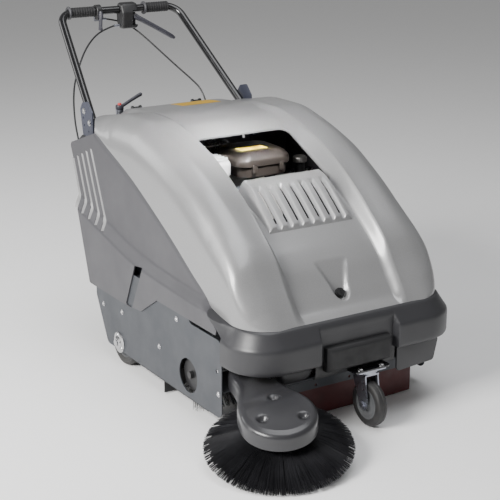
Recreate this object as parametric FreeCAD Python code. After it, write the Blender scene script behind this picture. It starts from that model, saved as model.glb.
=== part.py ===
"""Walk behind sweeper with a petrol engine, one side brush and a rear hopper.

Millimetres. While it is modelled, X is measured from the middle plane, positive to the
operator's left, Y from the front of the bumper towards the rear, and Z up from the floor.
Every piece is moved once, as it is written, so that the origin lies on the floor under
the middle of the whole machine.
"""
import FreeCAD, Part
import math
import os

V = FreeCAD.Vector

# ---------------------------------------------------------------- driving dimensions
# body
body_half = 339.0            # middle plane to the outside of the lower side panels
waist_half = 318.0           # the same above the crease, and at the hood's side seam
panel_wall = 3.5             # side panels, rear cowl and bumper
hood_wall = 4.0
seam_gap = 1.5               # hood to panel, bumper to panel
sheet = 3.0                  # frame side plates
deck_sheet = 4.0             # engine deck and front crossmember
plate_set_in = 0.5           # side plate to the inside of the side panel
plate_bottom = 45.0
deck_top = 349.0

# bumper
bumper_front = -2.0
bumper_bottom = 198.0
bumper_shoulder = 266.0
bumper_top = 303.0
bumper_set_back = 27.0       # top edge behind the front face
bumper_corner = 108.0        # corner radius seen from above
bumper_rear = 140.0
recess_half = 124.0
recess_depth = 22.0
pad_half = 104.0
pad_bottom = 173.0
pad_top = 239.0
pad_chamfer = 10.0

# main brush
brush_y = 316.0
brush_radius = 106.0
brush_floor_gap = 2.0
brush_right = -322.0
brush_left = 280.0
brush_core_radius = 45.0
shaft_radius = 10.0
access_hole_radius = 48.0
tunnel_clearance = 13.0
tunnel_sheet = 2.5
running_clearance = 0.05

# rear wheels
wheel_y = 722.0
wheel_radius = 70.0
wheel_width = 44.0
rim_radius = 48.0
wheel_gap = 6.0              # wheel to the inside of the side plate

# caster
caster_x = 32.0
caster_y = 18.0
caster_trail = -20.0         # the wheel stands ahead of its swivel axis
caster_radius = 62.0
caster_width = 30.0
caster_rim_radius = 42.0
caster_plate_half = 32.0     # along Y
caster_bolt_y = 22.0
caster_plate_z = 158.0       # underside of the crossmember tongue
tongue_half = 58.0           # the tongue that carries the caster, half its width
tongue_nose = 33.0           # from the swivel axis forward to the tongue's front edge
fork_gap = 3.0

# side brush
side_brush_x = -294.0
side_brush_y = -65.0
side_brush_radius = 190.0
side_brush_floor_gap = 2.0
lean_front = 10.0            # degrees
lean_out = 7.0               # degrees
brush_disc_radius = 78.0
bristle_drop = 52.0          # disc underside to bristle tips
cover_radius = 97.0
arm_pivot_y = 165.0
arm_pivot_z = 172.0
arm_pin_radius = 6.0
beam_bottom = 196.0          # underside of the front crossmember beam

# hopper
hopper_half = 248.0
hopper_front = 520.0
hopper_rear = 962.0
fascia_half = 282.0
hopper_bottom = 112.0
hopper_top = 330.0
hopper_wall = 3.0

# engine, belts
crank_y = 690.0
crank_z = 480.0
cleaner_base = 552.0
cap_x = 204.0
neck_top = 570.0
belt_width = 10.0
belt_thick = 5.0
belt_gap = 0.3
traction_x = 266.0
fan_belt_x = 284.0
brush_belt_x = 302.0
crank_pulley_radius = 34.0
brush_pulley_radius = 68.0
axle_pulley_radius = 52.0
fan_pulley_radius = 24.0
fan_y = 430.0
fan_z = 444.0
fan_radius = 82.0

# handlebar
tube_radius = 12.5
tube_wall = 2.0
bar_y = 1335.0
bar_z = 948.0
bar_corner_x = 208.0
bar_bend = 50.0
leg_foot_x = 262.0
leg_foot_y = 1005.0
leg_foot_z = 668.0
grip_radius = 16.0
grip_inner = 92.0
grip_outer = 174.0
housing_rear = 1356.0          # rearmost face of the lever housing
bracket_sheet = 4.0

# hood hinge
hood_pivot_y = 1026.0
hood_pivot_z = 690.0
hinge_pin_radius = 4.0
hinge_x = 105.0

# cables
cable_radius = 2.75
lift_grommet_x = 150.0
traction_grommet = ((-292, 1049, 602), (-292, 1032, 582.6))

part_gap = 0.3               # between pieces of different bodies

# ---------------------------------------------------------------- worked out
plate_out = body_half - panel_wall - plate_set_in
plate_in = plate_out - sheet
brush_z = brush_radius + brush_floor_gap
wheel_z = wheel_radius
wheel_out = plate_in - wheel_gap
wheel_in = wheel_out - wheel_width
axle_end = plate_out + 15
tilt_x = math.tan(math.radians(lean_out))
tilt_y = math.tan(math.radians(lean_front))
side_axis = V(-tilt_x, -tilt_y, 1).normalize()
side_lean = math.acos(side_axis.z)
side_brush_z = side_brush_radius * math.sin(side_lean) + side_brush_floor_gap
side_reach_x = side_brush_radius * math.sqrt(1 - side_axis.x ** 2)
side_reach_y = side_brush_radius * math.sqrt(1 - side_axis.y ** 2)
origin = V((axle_end + side_brush_x - side_reach_x) / 2,
           (housing_rear + side_brush_y - side_reach_y) / 2, 0)

# ---------------------------------------------------------------- helpers
nodes = {}


def add(name, *shapes):
    """Put one or more separate solids in a node."""
    solids = nodes.setdefault(name, [])
    for shape in shapes:
        solids += shape.Solids


def whole_node(name):
    solids = nodes[name]
    return Part.makeCompound(solids) if len(solids) > 1 else solids[0]


def box(x0, x1, y0, y1, z0, z1):
    return Part.makeBox(x1 - x0, y1 - y0, z1 - z0, V(x0, y0, z0))


def rod(radius, start, end):
    start, end = V(*start), V(*end)
    return Part.makeCylinder(radius, (end - start).Length, start, end - start)


def ring(outer, inner, start, end):
    return rod(outer, start, end).cut(rod(inner, start, end))


def fuse(*shapes):
    joined = shapes[0].multiFuse(list(shapes[1:])) if len(shapes) > 1 else shapes[0]
    return joined.removeSplitter()


def mirror(shape):
    return shape.mirror(V(0, 0, 0), V(1, 0, 0))


def polygon(points):
    return Part.makePolygon([V(*p) for p in points] + [V(*points[0])])


def prism_x(points, x0, x1):
    """Solid with a (y, z) outline between two x planes."""
    return Part.Face(polygon([(x0, y, z) for y, z in points])).extrude(V(x1 - x0, 0, 0))


def prism_y(points, y0, y1):
    return Part.Face(polygon([(x, y0, z) for x, z in points])).extrude(V(0, y1 - y0, 0))


def prism_z(points, z0, z1):
    return Part.Face(polygon([(x, y, z0) for x, y in points])).extrude(V(0, 0, z1 - z0))


def corner_arc(before, corner, after, radius):
    """Tangent points and middle of the arc that rounds one corner."""
    back, ahead = (before - corner).normalize(), (after - corner).normalize()
    half = back.getAngle(ahead) / 2
    reach = radius / math.tan(half)
    centre = corner + (back + ahead).normalize() * (radius / math.sin(half))
    middle = centre + (corner - centre).normalize() * radius
    return corner + back * reach, middle, corner + ahead * reach


def rounded_path(points, radii):
    """Straight runs joined by tangent arcs, one radius for each inner point."""
    points = [V(*p) for p in points]
    edges, last = [], points[0]
    for before, corner, after, radius in zip(points, points[1:], points[2:], radii):
        start, middle, end = corner_arc(before, corner, after, radius)
        edges.append(Part.LineSegment(last, start).toShape())
        edges.append(Part.Arc(start, middle, end).toShape())
        last = end
    edges.append(Part.LineSegment(last, points[-1]).toShape())
    return Part.Wire(edges)


def rounded_face(points, radius):
    """Closed flat outline with every corner rounded."""
    points = [V(*p) for p in points]
    arcs = [corner_arc(points[i - 1], p, points[(i + 1) % len(points)], radius)
            for i, p in enumerate(points)]
    edges = []
    for i, (start, middle, end) in enumerate(arcs):
        edges.append(Part.Arc(start, middle, end).toShape())
        following = arcs[(i + 1) % len(arcs)][0]
        if (following - end).Length > 1e-3:
            edges.append(Part.LineSegment(end, following).toShape())
    return Part.Face(Part.Wire(edges))


def rounded_plate(points, radius, depth):
    """Flat plate: rounded outline given in 3-D, pushed along depth."""
    return rounded_face(points, radius).extrude(V(*depth))


def sweep(path, radius):
    start = path.Edges[0]
    tangent = start.tangentAt(start.FirstParameter)
    point = start.valueAt(start.FirstParameter)
    circle = Part.Wire(Part.makeCircle(radius, point, tangent))
    return path.makePipeShell([circle], True, True)


def bent_sheet(points, thick, x0, x1):
    """Folded sheet: the (y, z) line is the outer face, the sheet lies to its right."""
    flat = [V(0, y, z) for y, z in points]
    inner = []
    for i, p in enumerate(flat):
        normals = []
        for a, b in ((i - 1, i), (i, i + 1)):
            if a >= 0 and b < len(flat):
                along = (flat[b] - flat[a]).normalize()
                normals.append(V(0, along.z, -along.y))
        middle = sum(normals, V(0, 0, 0)).normalize()
        inner.append(p + middle * (thick / middle.dot(normals[0])))
    outline = points + [(p.y, p.z) for p in reversed(inner)]
    return prism_x(outline, x0, x1)


def arc_points(y, z, radius, start, end, steps):
    """Points on an arc in the side view, angles in degrees from the rear, upwards."""
    angles = [math.radians(start + (end - start) * i / steps) for i in range(steps + 1)]
    return [(y + radius * math.cos(a), z + radius * math.sin(a)) for a in angles]


def belt(x, first, second):
    """Flat loop around two pulleys, each given as (y, z, radius)."""
    def loop(extra):
        (y1, z1, r1), (y2, z2, r2) = first, second
        r1, r2 = r1 + extra, r2 + extra
        span = math.hypot(y2 - y1, z2 - z1)
        along = math.atan2(z2 - z1, y2 - y1)
        lean = math.acos((r1 - r2) / span)

        def at(y, z, r, angle):
            return V(x - belt_width / 2, y + r * math.cos(angle), z + r * math.sin(angle))
        up, down = along + lean, along - lean
        edges = [Part.Arc(at(y1, z1, r1, up), at(y1, z1, r1, along + math.pi),
                          at(y1, z1, r1, down)).toShape(),
                 Part.LineSegment(at(y1, z1, r1, down), at(y2, z2, r2, down)).toShape(),
                 Part.Arc(at(y2, z2, r2, down), at(y2, z2, r2, along),
                          at(y2, z2, r2, up)).toShape(),
                 Part.LineSegment(at(y2, z2, r2, up), at(y1, z1, r1, up)).toShape()]
        return Part.Face(Part.Wire(edges)).extrude(V(belt_width, 0, 0))
    return loop(belt_gap + belt_thick).cut(loop(belt_gap))


def pulley(x, y, z, radius, bore):
    """Grooved wheel whose belt runs at x."""
    groove, rim = belt_width / 2 + 0.6, 3.0
    shape = fuse(rod(radius, (x - groove, y, z), (x + groove, y, z)),
                 rod(radius + 7, (x - groove - rim, y, z), (x - groove, y, z)),
                 rod(radius + 7, (x + groove, y, z), (x + groove + rim, y, z)))
    return shape.cut(rod(bore, (x - 30, y, z), (x + 30, y, z))) if bore else shape


def screws(places, head, height, axis):
    """Hexagon screw heads standing on a face."""
    out = []
    for place in places:
        base = V(*place)
        side = V(*axis).cross(V(0, 0.6, 0.8) if abs(axis[0]) else V(1, 0, 0)).normalize()
        turn = FreeCAD.Rotation(V(*axis), 60)
        corners = [side * head]
        for _ in range(5):
            corners.append(turn.multVec(corners[-1]))
        face = Part.Face(Part.makePolygon([base + c for c in corners] + [base + corners[0]]))
        out.append(face.extrude(V(*axis) * height))
    return out


# ---------------------------------------------------------------- body outlines (y, z)
seam = [(bumper_set_back - 1, 305), (127, 310), (221, 327), (240, 346), (312, 388), (423, 455),
        (539, 518), (660, 578), (788, 629), (886, 665)]
hood_stations = [   # y, shoulder height, channel height
    (bumper_set_back, 304, 302), (60, 350, 313), (95, 398, 363), (137, 460, 410),
    (215, 528, 488), (276, 574, 524), (357, 624, 565), (449, 670, 611), (598, 714, 683),
    (674, 728, 711), (780, 728, 722), (949, 700, 700), (1016, 688, 688)]
channel_half = 150.0
shoulder_half = 244.0
hood_rear_plan = [(waist_half, 880), (271, 967), (185, 990), (110, 1014)]


def hood_solid(inset):
    """Hood as a loft of cross-sections; inset makes the inside."""
    wires = []
    for y, crest, channel in hood_stations:
        half = waist_half - inset
        drop = min(90.0, 12 + (y - bumper_set_back) * 0.35)
        deep = 150.0
        half_section = [(0, channel), (channel_half, channel), (channel_half + 26, crest - 4),
                        (shoulder_half, crest), (288, crest - 0.28 * drop),
                        (half - 4, crest - 0.6 * drop), (half, crest - drop - 18),
                        (half, crest - deep - 130)]
        full = [(-x, z) for x, z in reversed(half_section[1:])] + half_section
        wires.append(polygon([(x, y + inset, z - inset) for x, z in full]))
    return Part.makeLoft(wires, True, True)


def plan_corner(half, front, rear, radius, z0, z1):
    """Block seen from above with two rounded front corners."""
    wire = rounded_path([(half, rear, z0), (half, front, z0), (-half, front, z0), (-half, rear, z0)],
                        [radius, radius])
    closing = Part.LineSegment(V(-half, rear, z0), V(half, rear, z0)).toShape()
    return Part.Face(Part.Wire(wire.Edges + [closing])).extrude(V(0, 0, z1 - z0))


# ---------------------------------------------------------------- hood
window_front = 372.0
window_rear = 590.0
slot_count = 7
slot_pitch = 34.0
slot_width = 9.0
lock_y = 96.0
lock_z = 346.0
lock_radius = 11.0
lock_slope = V(0, -0.80, 0.60)


def build_hood():
    keep = prism_x(seam + [(1030, 665), (1030, 900), (-40, 900), (-40, 305)], -400, 400)
    rear = [(-x, y) for x, y in reversed(hood_rear_plan)]
    trim = prism_z(hood_rear_plan + rear + [(-waist_half, -50), (waist_half, -50)], 200, 900)
    corners = plan_corner(waist_half, bumper_set_back, 1100, bumper_corner - 6, 200, 900)
    outer = hood_solid(0).common(keep).common(trim).common(corners)
    inner = hood_solid(hood_wall).common(
        plan_corner(waist_half - hood_wall, bumper_set_back + hood_wall, 1100,
                    bumper_corner - 10, 200, 900))
    shell = outer.cut(inner)
    window = rounded_plate([(-channel_half + 6, window_front, 400), (channel_half - 6, window_front, 400),
                            (channel_half - 6, window_rear, 400),
                            (-channel_half + 6, window_rear, 400)], 18, (0, 0, 500))
    shell = shell.cut(window)
    louvre = prism_x([(214, 488), (330, 584), (352, 596), (376, 602), (376, 598), (352, 592),
                      (332, 579), (222, 490)], -130, 130)
    posts = [box(s - 2, s + 2, 344, 352, 557, 593) for s in (-120, 0, 120)]
    shell = fuse(shell, louvre, *posts)
    for i in range(slot_count):
        x = (i - (slot_count - 1) / 2) * slot_pitch
        shell = shell.cut(box(x - slot_width / 2, x + slot_width / 2, 250, 326, 505, 640))
    lock_at = V(0, lock_y, lock_z)
    bore = Part.makeCylinder(lock_radius + part_gap, 60, lock_at - lock_slope * 30, lock_slope)
    shell = shell.cut(bore)
    knuckles = []
    for side in (-1, 1):
        x = side * hinge_x
        lug = box(x - 9, x + 9, 985, hood_pivot_y, 678, 688).fuse(
            rod(8, (x - 9, hood_pivot_y, hood_pivot_z), (x + 9, hood_pivot_y, hood_pivot_z)))
        knuckles.append(lug.cut(rod(hinge_pin_radius + running_clearance,
                                    (x - 20, hood_pivot_y, hood_pivot_z),
                                    (x + 20, hood_pivot_y, hood_pivot_z))))
    add("hood_shell", fuse(shell, *knuckles))
    lock = Part.makeCylinder(lock_radius, 26, lock_at - lock_slope * 20, lock_slope)
    tongue = Part.makeBox(10, 4, 34, V(-5, 0, -34))
    tongue.Placement = FreeCAD.Placement(lock_at - lock_slope * 22,
                                         FreeCAD.Rotation(V(1, 0, 0), -36.87))
    key_slot = Part.makeBox(3, 3, 12, V(-1.5, -1.5, -6))
    key_slot.Placement = FreeCAD.Placement(lock_at + lock_slope * 6,
                                           FreeCAD.Rotation(V(1, 0, 0), -36.87))
    add("hood_lock", lock.fuse(tongue).cut(key_slot))


# ---------------------------------------------------------------- side panels
crease = [(120, 318, 345), (240, 320, 346), (310, 322, 349), (582, 335, 368), (810, 378, 411),
          (1060, 436, 470)]          # y, lower edge, upper edge
panel_edge = [(216 + seam_gap, 325), (240, 344)] + seam[4:9] + [(880, 663), (1043, 606),
              (1050, 596), (978, 430), (905, 203), (660, 203), (574, 212), (480, 272),
              (138 + seam_gap, 272)]
vent_count = 5


def panel_half(offset):
    """Solid block whose outer face is the side panel, moved inwards by offset."""
    wires = []
    for y, low, high in crease:
        wires.append(polygon([(150, y, 150), (body_half - offset, y, 150),
                              (body_half - offset, y, low), (waist_half - offset, y, high),
                              (waist_half - offset, y, 720), (150, y, 720)]))
    return Part.makeLoft(wires, True, True)


def build_side_panels():
    outline = prism_x([(y, z - (seam_gap if 0 < i < 8 else 0)) for i, (y, z) in enumerate(panel_edge)],
                      100, 400)
    panel = panel_half(0).common(outline).cut(panel_half(panel_wall))
    for i in range(vent_count):
        top_y, bottom_y = 1037 - i * 31, 986 - i * 42
        top_z, bottom_z = 556 + i * 13, 428 - i * 8
        vent = prism_x([(top_y - 9, top_z), (top_y, top_z), (bottom_y, bottom_z),
                        (bottom_y - 9, bottom_z)], 300, 340)
        panel = panel.cut(vent)
    slot = prism_x([(607, 337), (561, 342), (629, 205), (668, 205)], 300, 345)
    panel = panel.cut(slot)
    add("side_panels", panel)
    add("side_panels", mirror(panel))


# ---------------------------------------------------------------- bumper
def build_bumper():
    def block(inset):
        front = bumper_front + inset
        half = body_half - inset
        radius = bumper_corner - inset
        low = plan_corner(half, front, bumper_rear + 80, radius, bumper_bottom - 1, bumper_shoulder)
        sections = []
        for back, side, z in ((0, 0, bumper_shoulder), (bumper_set_back, body_half - waist_half, bumper_top)):
            wire = rounded_path([(half - side, bumper_rear + 80, z), (half - side, front + back, z),
                                 (side - half, front + back, z), (side - half, bumper_rear + 80, z)],
                                [radius - back / 3, radius - back / 3])
            closing = Part.LineSegment(V(side - half, bumper_rear + 80, z),
                                       V(half - side, bumper_rear + 80, z)).toShape()
            sections.append(Part.Wire(wire.Edges + [closing]))
        return low.fuse(Part.makeLoft(sections, True, True))
    outer, inner = block(0), block(panel_wall)
    inner = inner.fuse(box(-300, 300, 60, 300, 100, 400))
    ends = prism_x([(-50, bumper_bottom), (bumper_rear, bumper_bottom), (bumper_rear, 272),
                    (216, 325), (216, 400), (-50, 400)], -400, 400)
    shell = outer.cut(inner).common(ends)
    recess = box(-recess_half, recess_half, -40, bumper_front + recess_depth, 100, 290)
    back_wall = box(-recess_half - panel_wall, recess_half + panel_wall, bumper_front + recess_depth,
                    bumper_front + recess_depth + panel_wall, pad_bottom - 22, 292)
    cheeks = [box(x, x + panel_wall, bumper_front + 8, bumper_front + recess_depth + 1,
                  bumper_bottom, 290)
              for x in (-recess_half - panel_wall, recess_half)]
    tongue_room = box(caster_x - tongue_half - 3, caster_x + tongue_half + 3, -50, 60,
                      100, caster_plate_z + deck_sheet + 3)
    add("front_bumper", fuse(shell.cut(recess), back_wall.cut(tongue_room),
                             *[c.common(outer) for c in cheeks]))
    pad = Part.makeLoft([
        polygon([(-pad_half, bumper_front + recess_depth - part_gap, pad_bottom),
                 (pad_half, bumper_front + recess_depth - part_gap, pad_bottom),
                 (pad_half, bumper_front + recess_depth - part_gap, pad_top),
                 (-pad_half, bumper_front + recess_depth - part_gap, pad_top)]),
        polygon([(-pad_half, bumper_front + 4, pad_bottom), (pad_half, bumper_front + 4, pad_bottom),
                 (pad_half, bumper_front + 4, pad_top), (-pad_half, bumper_front + 4, pad_top)]),
        polygon([(pad_chamfer - pad_half, -6, pad_bottom + 4), (pad_half - pad_chamfer, -6, pad_bottom + 4),
                 (pad_half - pad_chamfer, 0, pad_top - 6), (pad_chamfer - pad_half, 0, pad_top - 6)])],
        True, True)
    add("bumper_pad", pad)
    skirt = rounded_plate([(recess_half + 14, 24, 118), (body_half - 74, 24, 126),
                           (body_half - 58, 24, 196), (recess_half + 14, 24, 196)], 9, (0, 4, 0))
    ledge = box(recess_half + 14, body_half - 74, 24, 60, 192, 196)
    add("front_fairings", fuse(skirt, ledge))
    fairing = Part.makeLoft([polygon([(-214, 78, 196), (-90, 74, 196), (-90, 106, 196), (-214, 106, 196)]),
                             polygon([(-208, 70, 150), (-98, 66, 150), (-98, 106, 150), (-208, 106, 150)]),
                             polygon([(-190, 84, 128), (-116, 80, 128), (-116, 104, 128),
                                      (-190, 104, 128)])], True, True)
    hollow = box(-202, -104, 86, 101, 136, 200)
    add("front_fairings", fairing.cut(hollow))


# ---------------------------------------------------------------- frame
def build_frame():
    outline = [(-plate_out, 142, plate_bottom), (-plate_out, 142, 260), (-plate_out, 300, 260),
               (-plate_out, 360, 305), (-plate_out, 868, 305),
               (-plate_out, 868, 178), (-plate_out, 800, plate_bottom)]
    blank = rounded_plate(outline, 22, (sheet, 0, 0))
    axle_hole = rod(shaft_radius + 4, (-body_half - 61, wheel_y, wheel_z), (body_half + 61, wheel_y, wheel_z))
    pivot_hole = rod(arm_pin_radius + 0.1, (-body_half - 61, arm_pivot_y, arm_pivot_z),
                     (-300, arm_pivot_y, arm_pivot_z))
    access = rod(access_hole_radius, (-body_half - 61, brush_y, brush_z), (-300, brush_y, brush_z))
    right = blank.cut(axle_hole).cut(access).cut(pivot_hole)
    left = mirror(blank).cut(axle_hole)
    add("frame_plates", right)
    add("frame_plates", left)

    deck_half = waist_half - panel_wall - 1.5
    foot_z = 296
    deck = box(-deck_half, deck_half, 440, 900, deck_top - deck_sheet, deck_top)
    deck = deck.cut(box(traction_x - 11, brush_belt_x + 6.9, 430, 790, 300, 400))
    for side in (-1, 1):
        x0, x1 = sorted((side * deck_half, side * (deck_half - deck_sheet)))
        deck = deck.fuse(box(x0, x1, 520, 860, foot_z, deck_top))
        x0, x1 = sorted((side * (deck_half - deck_sheet), side * plate_in))
        deck = deck.fuse(box(x0, x1, 520, 860, foot_z, foot_z + deck_sheet))
    for side in (-1, 1):
        x0, x1 = sorted((side * (hopper_half + part_gap), side * (hopper_half + 4)))
        deck = deck.fuse(box(x0, x1, 560, 880, hopper_top - 14, deck_top - 1))
    add("engine_deck", deck.removeSplitter())

    tongue = rounded_plate([(caster_x - tongue_half, caster_y - tongue_nose, caster_plate_z),
                            (caster_x + tongue_half, caster_y - tongue_nose, caster_plate_z),
                            (caster_x + tongue_half, 122, caster_plate_z),
                            (caster_x - tongue_half, 122, caster_plate_z)], 12, (0, 0, deck_sheet))
    beam = box(-plate_in, plate_in, 142, 172, beam_bottom, 226).cut(
        box(-plate_in - 1, plate_in + 1, 145, 175, 199, 223))
    riser = box(caster_x - tongue_half, caster_x + tongue_half, 118, 122, caster_plate_z, 226)
    shelf = box(caster_x - tongue_half, caster_x + tongue_half, 118, 146, 222, 226)
    bolt_holes = [rod(4.2, (caster_x + a, caster_y + b, 150), (caster_x + a, caster_y + b, 170))
                  for a in (-34, 34) for b in (-caster_bolt_y, caster_bolt_y)]
    member = fuse(tongue, riser, shelf, beam)
    bolt_holes.append(rod(8, (caster_x, caster_y, 150), (caster_x, caster_y, 170)))
    for hole in bolt_holes:
        member = member.cut(hole)
    add("front_crossmember", member)

    reach = brush_radius + tunnel_clearance
    line = ([(142, 120), (brush_y - reach * 0.94, 150)]
            + arc_points(brush_y, brush_z, reach, 155, 62, 8)
            + [(430, 240), (470, 300), (hopper_front - 8, 322)])
    outer_line = [(y, z) for y, z in line]
    tunnel = bent_sheet(outer_line, tunnel_sheet, brush_right - 5, brush_left + 6)
    end_wall = prism_x(outer_line + [(hopper_front - 8, 250), (470, 110), (470, 60), (142, 60)],
                       brush_left + 6, brush_left + 6 + tunnel_sheet)
    end_wall = end_wall.cut(rod(shaft_radius + 4, (250, brush_y, brush_z), (body_half + 11, brush_y, brush_z)))
    add("brush_tunnel", fuse(tunnel, end_wall))
    bearing_plates = []
    for x0, x1 in ((-plate_in, -plate_in + 5), (plate_in - 5, plate_in)):
        bearing_plates.append(ring(58, shaft_radius + running_clearance, (x0, brush_y, brush_z),
                                   (x1, brush_y, brush_z)))
    add("shaft_bearings", *bearing_plates)

    rear_flap = box(-plate_in + 4, brush_left - 2, 462, 466, 4, 112)
    add("rubber_skirts", rear_flap)
    skirts = [box(-plate_in + 0.3, -plate_in + 3.3, 215, 640, 40, 78)
              .cut(rod(access_hole_radius + 12, (-body_half - 61, brush_y, brush_z), (body_half + 61, brush_y, brush_z))),
              box(plate_in - 3.3, plate_in - 0.3, 215, 640, 40, 78)
              .cut(rod(access_hole_radius + 12, (-body_half - 61, brush_y, brush_z), (body_half + 61, brush_y, brush_z)))]
    add("rubber_skirts", *skirts)

    cowl = bent_sheet([(962, deck_top + 4), (1036, 596), (1062, 640), (1052, 664), (1040, 670),
                       (930, 670)], -panel_wall, -waist_half + panel_wall + 1, waist_half - panel_wall - 1)
    for x in (-160, lift_grommet_x):
        cowl = cowl.cut(rod(7, (x, 1042 if x > 0 else 1030, 640), (x, 1042 if x > 0 else 1030, 700)))
    cowl = cowl.cut(rod(9, *traction_grommet))
    for side in (-1, 1):
        corner = box(*sorted((side * 246, side * 330)), 900, 1080, 598, 700)
        slot = box(*sorted((side * (leg_foot_x + tube_radius - 1), side * (leg_foot_x + tube_radius + 8))),
                   940, 1080, 552, 600)
        cowl = cowl.cut(corner).cut(slot)
    add("rear_cowl", cowl)
    hinge_posts = []
    for side in (-1, 1):
        for edge in (-1, 1):
            x = side * hinge_x + edge * 13
            post = box(x - 3, x + 3, hood_pivot_y - 7, hood_pivot_y + 7, 670, hood_pivot_z).fuse(
                rod(7, (x - 3, hood_pivot_y, hood_pivot_z), (x + 3, hood_pivot_y, hood_pivot_z)))
            hinge_posts.append(post)
    add("hinges", *hinge_posts)
    pins = [rod(hinge_pin_radius, (s * hinge_x - 10, hood_pivot_y, hood_pivot_z),
                (s * hinge_x + 10, hood_pivot_y, hood_pivot_z)) for s in (-1, 1)]
    add("hinges", *pins)


# ---------------------------------------------------------------- drive axle
def build_axle():
    shaft = rod(shaft_radius, (-axle_end, wheel_y, wheel_z), (axle_end, wheel_y, wheel_z))
    add("axle_shaft", shaft.fuse(pulley(traction_x, wheel_y, wheel_z, axle_pulley_radius, 0)))
    bearings, bolts = [], []
    for side in (-1, 1):
        face = side * plate_out
        flange = rounded_plate([(face, wheel_y - 34, wheel_z - 20), (face, wheel_y + 34, wheel_z - 20),
                                (face, wheel_y + 34, wheel_z + 20), (face, wheel_y - 34, wheel_z + 20)],
                               19, (side * 5, 0, 0))
        boss = rod(17, (face, wheel_y, wheel_z), (face + side * 11, wheel_y, wheel_z))
        bore = rod(shaft_radius + running_clearance, (face - side * 1, wheel_y, wheel_z),
                   (face + side * 14, wheel_y, wheel_z))
        bearings.append(fuse(flange, boss).cut(bore))
        bolts += screws([(face + side * 5, wheel_y + d, wheel_z) for d in (-25, 25)], 6, 5, (side, 0, 0))
    add("shaft_bearings", *bearings)
    add("hex_screws", *bolts)
    for side in (-1, 1):
        x0, x1 = sorted((side * wheel_in, side * wheel_out))
        tyre = rod(wheel_radius, (x0, wheel_y, wheel_z), (x1, wheel_y, wheel_z))
        tyre = tyre.makeChamfer(5, [e for e in tyre.Edges if e.Closed and len(e.Vertexes) == 1
                                    and type(e.Curve).__name__ == "Circle"])
        tyre = tyre.cut(rod(rim_radius, (x0, wheel_y, wheel_z), (x1, wheel_y, wheel_z)))
        add("rear_tyres", tyre)
        middle = (x0 + x1) / 2
        rim = fuse(ring(rim_radius, rim_radius - 5, (x0 + 2, wheel_y, wheel_z), (x1 - 2, wheel_y, wheel_z)),
                   rod(rim_radius, (middle - 3, wheel_y, wheel_z), (middle + 3, wheel_y, wheel_z)),
                   rod(20, (x0 + 2, wheel_y, wheel_z), (x1 - 2, wheel_y, wheel_z)))
        rim = rim.cut(rod(shaft_radius, (x0, wheel_y, wheel_z), (x1, wheel_y, wheel_z)))
        add("rear_rims", rim)


# ---------------------------------------------------------------- main brush
bristle_rows = 12


def build_main_brush():
    shaft = rod(shaft_radius, (-plate_in - 0.5, brush_y, brush_z), (plate_in - 0.5, brush_y, brush_z))
    core = rod(brush_core_radius, (brush_right, brush_y, brush_z), (brush_left, brush_y, brush_z))
    add("main_brush_core", shaft.fuse(core))
    rows = []
    for i in range(bristle_rows):
        row = box(brush_right + 6, brush_left - 6, -5, 5, brush_core_radius - 0.2, brush_radius)
        row.rotate(V(0, 0, 0), V(1, 0, 0), 360.0 * i / bristle_rows)
        row.translate(V(0, brush_y, brush_z))
        rows.append(row)
    sleeve = ring(brush_core_radius + 1, brush_core_radius, (brush_right + 6, brush_y, brush_z),
                  (brush_left - 6, brush_y, brush_z))
    bore = rod(brush_core_radius, (-body_half - 61, brush_y, brush_z), (body_half + 61, brush_y, brush_z))
    add("main_brush_bristles", fuse(sleeve, *rows).cut(bore))
    add("brush_pulley", pulley(brush_belt_x, brush_y, brush_z, brush_pulley_radius, shaft_radius))


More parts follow.
